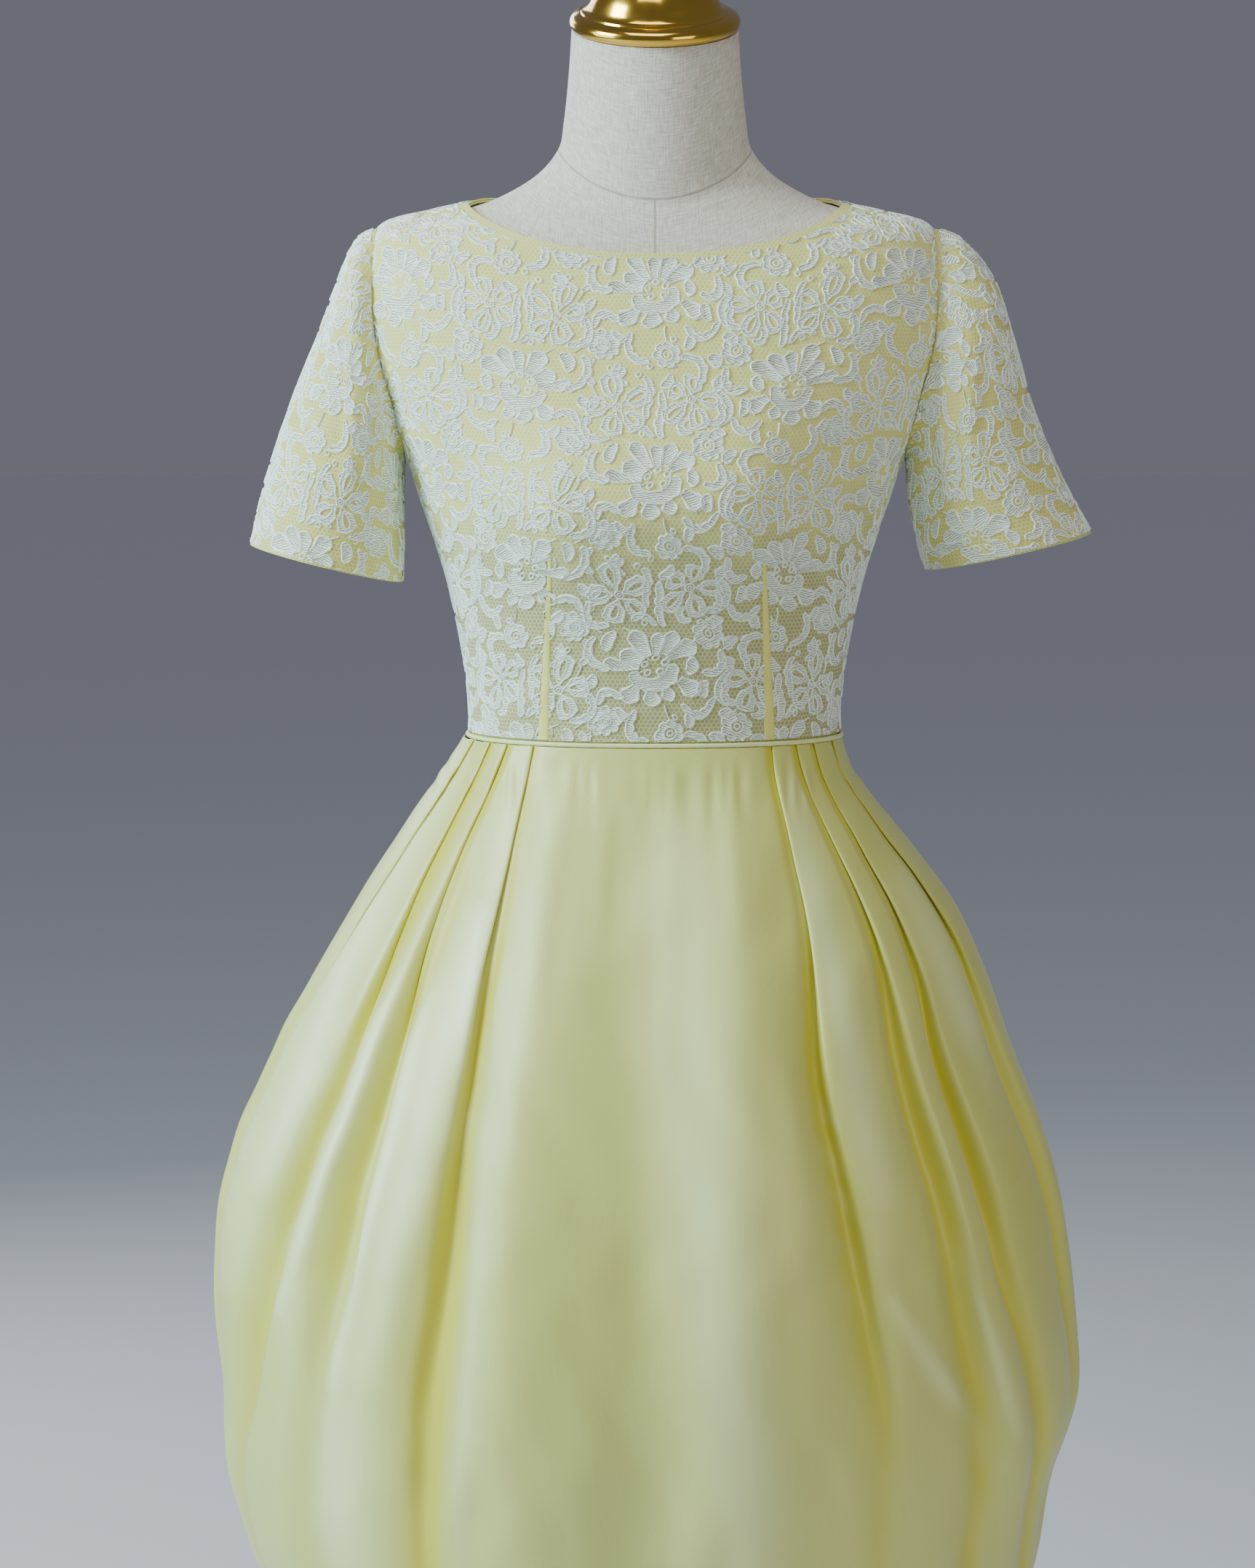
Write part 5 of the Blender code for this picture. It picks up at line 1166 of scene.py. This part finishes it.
def pleatedHalf(folds, z, back, inner, outer):
    # Angles from the centre and depths of half a section, one row for each height
    isOpen, foldReach, foldDepth = curveThrough(foldRows, z)
    isOpen = np.clip(isOpen, 0, 1)
    crest = skirt["crest"] * foldDepth * isOpen
    step = skirt["foldStep"]
    turns, depths = [], []
    heights = [height / 1000 for height in foldHeights]
    edges = [0 * z, *(np.radians(curveThrough(list(zip(heights, fold[0])), z)[0]) for fold in folds), outer]
    for k, (_, tuck, strength, low, opens, broad) in enumerate(folds):
        before, edge, after = edges[k:k + 3]
        rate = turnRate(z, halfTurn - edge if back else edge)
        share = np.clip((z - skirt["knee"]) / skirt["kneeSpan"], 0, 1)
        share = strength * share + low * (1 - share)
        # A pleat opens towards the centre, or away from it where its inner side stays on top
        gap = (edge - before if opens < 0 else after - edge) * rate
        reach = np.maximum(skirt["least"], broad * np.minimum(foldReach, skirt["most"] * gap))
        depth = foldDepth * (1 + (share - 1) * isOpen)
        # Across and depth of six places along a tuck: closed at the waist, and opened to a wave
        closed = ((-0.006, -0.0002), (-0.0004, -2 * step), (tuck, -2 * step), (tuck, -step), (0, -step),
                  (0, 0))
        wave = ((-reach, -0.12 * depth), (-0.66 * reach, -0.72 * depth), (-0.42 * reach, -depth),
                (-0.20 * reach, -0.86 * depth), (-0.05 * reach, -0.34 * depth), (0 * reach, 0 * depth))
        if opens > 0:
            wave = [(-across, fall) for across, fall in wave[::-1]]
        turns.append([edge + (s0 + (s1 - s0) * isOpen) / rate for (s0, _), (s1, _) in zip(closed, wave)])
        depths.append([d0 + (d1 - d0) * isOpen for (_, d0), (_, d1) in zip(closed, wave)])
    outTurn, outDepth = [inner], [0 * z]
    for part in np.linspace(0, 1, 8)[1:-1]:
        outTurn.append(inner + (turns[0][0] - inner) * part)
        outDepth.append(crest * part)
    turns.append([outer])
    depths.append([crest * 0.5])
    for k in range(len(folds)):
        outTurn += turns[k]
        outDepth += depths[k]
        for part in (0.22, 0.44, 0.66, 0.86):
            outTurn.append(turns[k][5] + (turns[k + 1][0] - turns[k][5]) * part)
            outDepth.append(crest * 4 * part * (1 - part) + depths[k + 1][0] * part)
    return np.stack(outTurn + turns[-1], axis=1), np.stack(outDepth + depths[-1], axis=1)


def cutCorners(values):
    # Rounds a row of points: each is replaced by two, a quarter of the way to its neighbours
    near = 0.75 * values[:, :-1] + 0.25 * values[:, 1:]
    far = 0.25 * values[:, :-1] + 0.75 * values[:, 1:]
    middle = np.stack([near, far], axis=2).reshape((len(values), -1) + values.shape[2:])
    return np.concatenate([values[:, :1], middle[:, 1:-1], values[:, -1:]], axis=1)


def softStrokes(strokes, across, along):
    rise, tone = np.zeros(across.shape), np.zeros(across.shape)
    for places, width, height, shade in strokes:
        line = np.reshape(places, (-1, 2)) / 1000
        run = lengthAlong(line)
        best, share = np.full(across.shape, 9.0), np.zeros(across.shape)
        for k in range(len(line) - 1):
            part, away = lineShare((*line[k], *line[k + 1]), across, along)
            part = np.clip(part, 0, 1)
            share = np.where(away(part) < best, (run[k] + part * (run[k + 1] - run[k])) / run[-1], share)
            best = np.minimum(best, away(part))
        near = np.exp(-(best / (width / 1000)) ** 2) * np.sqrt(4 * share * (1 - share))
        rise, tone = rise + height / 1000 * near, tone + shade * near
    return rise, tone


def crumpled(x, z):
    # Slight unevenness all over, as satin never hangs quite smooth, and small puckers at the waist
    broad = np.sin(82 * x + 3 * np.sin(17 * z) + 1.3) * np.sin(29 * z + 2.2 * np.sin(23 * x))
    small = np.sin(143 * x + 2 * np.sin(31 * z)) * np.sin(47 * z + 37 * x)
    near = np.clip((z - skirt["puckerFoot"]) / (skirt["top"] - skirt["puckerFoot"]), 0, 1)
    pucker = np.sin(520 * x + 2 * np.sin(140 * x)) * np.sin(math.pi * near)
    return skirt["crumple"] * (broad + 0.5 * small) + skirt["pucker"] * pucker


def makeSkirtPanel(part):
    look = {"hollow": 0.85, "hollowFrom": 0.6, "tuckFrom": 0.0002, "tuckOver": 0.0005, "opens": 2.2,
            "sideOn": 0.06, "sideFade": 0.24, "under": 0.0012, "heldOver": 0.02, "freed": 6}
    z = np.concatenate([np.linspace(skirt["top"], skirt["fine"], skirt["rowsAbove"] + 1)[:-1],
                        np.linspace(skirt["fine"], skirt["hem"], skirt["rowsBelow"])])
    wide, _, frontY, backY, square = curveThrough(skirtRows, z)
    face = part.split("_")[0]
    outer = quarterTurn - seamTurn(-frontY if face == "front" else backY, square, bodice["seamHalf"])
    if face == "front":
        right, left = (pleatedHalf(pleats[half], z, False, 0 * z, outer)
                       for half in ("frontRight", "frontLeft"))
        turn = np.concatenate([-right[0][:, :0:-1], left[0]], axis=1)
        depth = np.concatenate([right[1][:, :0:-1], left[1]], axis=1)
    else:
        halfGap = np.where(z >= skirt["zipFoot"], bodice["zipHalfGap"], bodice["seamHalf"])
        turn, depth = pleatedHalf(pleats["back"], z, True, seamTurn(wide, square, halfGap), outer)
        turn = turn - halfTurn
        if part == "back_left":
            turn, depth = -turn[:, ::-1], depth[:, ::-1]
    points, out = skirtBase(np.broadcast_to(z[:, None], turn.shape), turn, depth)
    values = cutCorners(cutCorners(np.concatenate([points, out, depth[..., None]], axis=-1)))
    # The folds grow rounder on their way down
    soft = np.clip((skirt["softFrom"] - z) / skirt["softOver"], 0, 1)[:, None, None] * 0.5
    for _ in range(skirt["softSteps"]):
        values[:, 1:-1] += soft * ((values[:, :-2] + values[:, 2:]) / 2 - values[:, 1:-1])
    points, out, depth = values[..., :3], values[..., 3:6], values[..., 6]
    x, height = points[..., 0], points[..., 2]
    across = x if face == "front" else np.abs(x)
    isOpen, _, foldDepth = curveThrough(foldRows, z)[..., None]
    opened = np.clip(isOpen * look["opens"], 0, 1)
    # Painted shade: the fold mark turns the hollows of open pleats and the gaps of closed tucks deep yellow
    tone = look["hollow"] * np.clip(-depth / (look["hollowFrom"] * foldDepth), 0, 1) * opened
    tone = np.maximum(tone, np.clip((-depth - look["tuckFrom"]) / look["tuckOver"], 0, 1) * (1 - opened))
    # The strokes, with their painted highlights and painted shade, were placed seen from the front or back, so
    # they fade where the cloth turns side on
    bend, shade = softStrokes(skirtStrokes[face], across, height)
    facing = np.clip((np.abs(unit(out)[..., 1]) - look["sideOn"]) / look["sideFade"], 0, 1)
    tone = np.clip(tone + shade * facing, -1, 1)
    rise = softRise(skirtCreases[face], across, height) + bend * facing + crumpled(x, height)
    # A tuck that lies under another part stays flat until its pleat opens
    onTop = np.clip((depth + look["under"]) / look["under"], 0, 1)
    loose = np.clip((skirt["top"] - height) / look["heldOver"], 0, 1)
    rise = rise * loose * (onTop + (1 - onTop) * np.clip(isOpen * look["freed"], 0, 1))
    points = points + out * rise[..., None]
    uv = 1000 * np.stack([lengthAlong(points, axis=1), height], axis=-1)
    piece = newPiece(f"satinPanel_{part}", points, gridFaces(*depth.shape, flip=True), satin,
                     [f"skirt_{part}"], uv, {"fold": tone})
    giveWall(piece, skirt["wall"], 0.0)
    print(piece.name, len(piece.data.polygons) * 2, "triangles")
    return piece


skirtPanels = {part: makeSkirtPanel(part) for part in ("front", "back_left", "back_right")}
print("skirt made")


# Piping, armhole seams and zip
def roundTube(name, line, radius, sides, material, nodes=(), up=(0.0, 0.0, 1.0), tone=0.0):
    along = unit(np.gradient(line, axis=0))
    side = unit(np.cross(along, np.broadcast_to(np.array(up), along.shape)))
    over = np.cross(side, along)
    angle, circle = circlePlaces(sides)
    ring = circle[None, :, :1] * side[:, None] + circle[None, :, 1:] * over[:, None]
    points = line[:, None] + ring * np.reshape(radius, (-1, 1, 1))
    uv = sideBySide(angle[None, :] * 3, lengthAlong(line)[:, None] * 1000)
    piece = newPiece(name, points, gridFaces(len(line), sides, closed=True), material, nodes, uv,
                     {"fold": np.full(len(line) * sides, tone)})
    closeMesh(piece, fill=True)
    return piece


def makePiping():
    look = {"radius": 0.0015, "lift": 0.0036, "points": 300, "gap": 0.0032, "waver": 0.00006,
            "halfWidth": 0.12, "square": 0.92}
    opening = seamTurn(look["halfWidth"], look["square"], look["gap"])
    turn = (halfTurn - opening) * np.linspace(-1, 1, look["points"])
    line = liftedPoint(np.full(turn.shape, bodice["waist"]), turn, np.full(turn.shape, look["lift"]))
    line[:, 2] = bodice["waistHeight"]
    radius = look["radius"] + look["waver"] * np.sin(np.arange(look["points"]) * 1.9)
    # The piping's fold mark of -0.55 gives it a pale painted highlight
    roundTube("pipingCord", line, radius, 12, satin, ["waist_piping"], tone=-0.55)


def makeArmholeSeams():
    # The seam that joins sleeve and bodice, a narrow turned edge of the net
    look = {"radius": 0.0011, "points": 180, "inside": 0.0012, "back": 0.0006}
    line = armholePoint(np.linspace(-math.pi, math.pi, look["points"] + 1))
    line = line - unit(line - line.mean(axis=0)) * look["inside"] - np.array([look["back"], 0, 0])
    return {side: roundTube(f"armholeSeam_{side}", line * np.array([sign, 1, 1]), look["radius"], 8,
                            sleeveNet, up=(1.0, 0.0, 0.0))
            for side, sign in (("left", 1.0), ("right", -1.0))}


def zipPoints(step):
    # Places down the centre back every step metres, with the way down and the way out at each
    look = {"top": 14.45, "foot": 5.25, "rings": 60, "lift": 0.0018, "sunk": 0.0007,
            "skirtHeights": (1.006, 0.986, 0.960, 0.921)}
    ring = np.linspace(look["top"], look["foot"], look["rings"])
    line = liftedPoint(ring, np.full(ring.shape, halfTurn), np.full(ring.shape, look["lift"]))
    heights = np.array(look["skirtHeights"])
    backY = curveThrough(skirtRows, heights)[3] - look["sunk"]
    line = np.concatenate([line, sideBySide(0 * heights, backY, heights)])
    run = lengthAlong(line)
    keys = np.arange(0, run[-1], step)
    spots = sideBySide(*(np.interp(keys, run, line[:, axis]) for axis in range(3)))
    spots[:, 0] = 0
    down = unit(np.gradient(spots, axis=0))
    return spots, down, np.cross(np.broadcast_to(np.array([1.0, 0, 0]), down.shape), down)


def bevelledBlock(size, bevel, segments, place=(0, 0, 0)):
    pickOnly()
    bpy.ops.mesh.primitive_cube_add(size=1, location=place)
    bpy.ops.object.mode_set(mode="EDIT")
    bpy.ops.mesh.select_all(action="SELECT")
    bpy.ops.transform.resize(value=size)
    bpy.ops.mesh.bevel(offset=bevel, segments=segments)
    bpy.ops.object.mode_set(mode="OBJECT")
    return bpy.context.active_object


def makeZip():
    look = {"pitch": 0.0020, "tooth": (0.0021, 0.0011, 0.0010), "bevel": 0.0003, "apart": 0.00055,
            "proud": 0.0004, "tapeHalf": 0.0022, "tapeWall": 0.0005, "tapeStep": 0.003,
            "stop": (0.0064, 0.0020, 0.0044), "stopBevel": 0.0006, "stopOut": 0.0008}
    # One tooth, modelled once and copied down both sides, each side half a pitch from the other
    tooth = bevelledBlock(look["tooth"], look["bevel"], 1)
    corners = np.array([vertex.co[:] for vertex in tooth.data.vertices])
    shape = [list(polygon.vertices) for polygon in tooth.data.polygons]
    bpy.data.objects.remove(tooth)
    places, down, out = zipPoints(look["pitch"] / 2)
    side = np.where(np.arange(len(places)) % 2, look["apart"], -look["apart"])
    across = np.broadcast_to(np.array([1.0, 0, 0]), places.shape)
    seats = places + across * side[:, None] + out * look["proud"]
    points = (seats[:, None] + corners[None, :, :1] * across[:, None] + corners[None, :, 1:2] * down[:, None]
              + corners[None, :, 2:] * out[:, None])
    faces = [[k + index * len(corners) for k in face] for index in range(len(seats)) for face in shape]
    teeth = newPiece("zipTeeth", points, faces, zipMetal, ["zip_chain"])
    teeth.data.set_sharp_from_angle(angle=math.radians(30))
    # The woven tape under them
    places, down, out = zipPoints(look["tapeStep"])
    width = np.array([-1.0, -0.5, 0.0, 0.5, 1.0]) * look["tapeHalf"]
    rows = places[:, None] + width[None, :, None] * np.array([1.0, 0, 0])
    run = np.arange(len(places)) * look["tapeStep"]
    uv = 1000 * sideBySide(width[None, :], run[:, None])
    tape = newPiece("zipTape", rows, gridFaces(*rows.shape[:2]), taffeta, uv=uv)
    giveWall(tape, look["tapeWall"], 1.0)
    # A pressed metal stop closes the chain's foot
    stop = bevelledBlock(look["stop"], look["stopBevel"], 3, tuple(places[-1] + out[-1] * look["stopOut"]))
    stop.name = "zipStop"
    bpy.ops.object.transform_apply(location=True, rotation=True, scale=True)
    stop.data.materials.append(zipMetal)
    bpy.ops.object.shade_smooth_by_angle(angle=math.radians(35))
    declare(stop)


armholeSeams = makeArmholeSeams()
makePiping()
makeZip()
for node in ("zip_slider", "zip_pull"):
    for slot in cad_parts[node].material_slots:
        slot.material = zipMetal
print("piping and zip made")


print("cloth declared")


# Floor, light and camera
def makeStudio():
    look = {"floor": 60.0, "floorColor": "#DEDEE2", "world": "#CFD2E4", "worldStrength": 0.235,
            "glow": 0.235}
    pickOnly()
    bpy.ops.mesh.primitive_plane_add(size=look["floor"], location=(0, 0, 0))
    floor = bpy.context.active_object
    floor.name = "studioFloor"
    # Pale matt paper; its slight glow lets the far floor meet the backdrop without a line
    paper, _, _ = newMaterial("mattPaper", {
        "Roughness": 1.0, "Specular IOR Level": 0.1, "Base Color": look["floorColor"],
        "Emission Color": look["world"], "Emission Strength": look["worldStrength"] * look["glow"]})
    floor.data.materials.append(paper)
    world = bpy.data.worlds.new("paleRoom")
    bpy.context.scene.world = world
    world.use_nodes = True
    setUp(world.node_tree, world.node_tree.nodes["Background"],
          {"Color": look["world"], "Strength": look["worldStrength"]})
    for name, place, aim, size, power, tint in (
            ("keySoftbox", (-2.40, -1.00, 2.60), (0, 0, 1.20), 1.1, 126, "#DEF3F4"),
            ("sideSoftbox", (-2.6, -0.8, 1.5), (0, 0, 0.95), 1.5, 54, "#B8E2F4"),
            ("fillSoftbox", (2.2, -2.9, 1.7), (0, 0, 1.0), 1.8, 27, "#FFF5DC"),
            ("topSoftbox", (-0.2, -0.9, 3.3), (0, 0, 1.2), 1.2, 22, "#F6FFFA"),
            ("backSoftbox", (-1.4, 2.8, 2.2), (0, 0, 1.0), 1.6, 40, "#F4F7FF")):
        lamp = bpy.data.lights.new(name, "AREA")
        lamp.shape = "SQUARE"
        lamp.size = size
        lamp.energy = power
        lamp.color = toLinear(tint)[:3]
        holder = bpy.data.objects.new(name, lamp)
        holder.location = place
        holder.rotation_euler = (Vector(aim) - Vector(place)).to_track_quat("-Z", "Y").to_euler()
        bpy.context.scene.collection.objects.link(holder)


def makeCamera():
    look = {"place": (-0.0178, -3.2, 1.32), "dip": 5.9, "lens": 75.0, "filmHeight": 24.0}
    camera = bpy.data.objects.new("photoCamera", bpy.data.cameras.new("photoCamera"))
    camera.data.sensor_fit = "VERTICAL"
    camera.data.sensor_height = look["filmHeight"]
    camera.data.lens = look["lens"]
    camera.location = look["place"]
    camera.rotation_euler = (math.radians(90 - look["dip"]), 0, 0)
    bpy.context.scene.collection.objects.link(camera)
    bpy.context.scene.camera = camera


makeStudio()
makeCamera()
bpy.context.view_layer.update()
print("studio made")
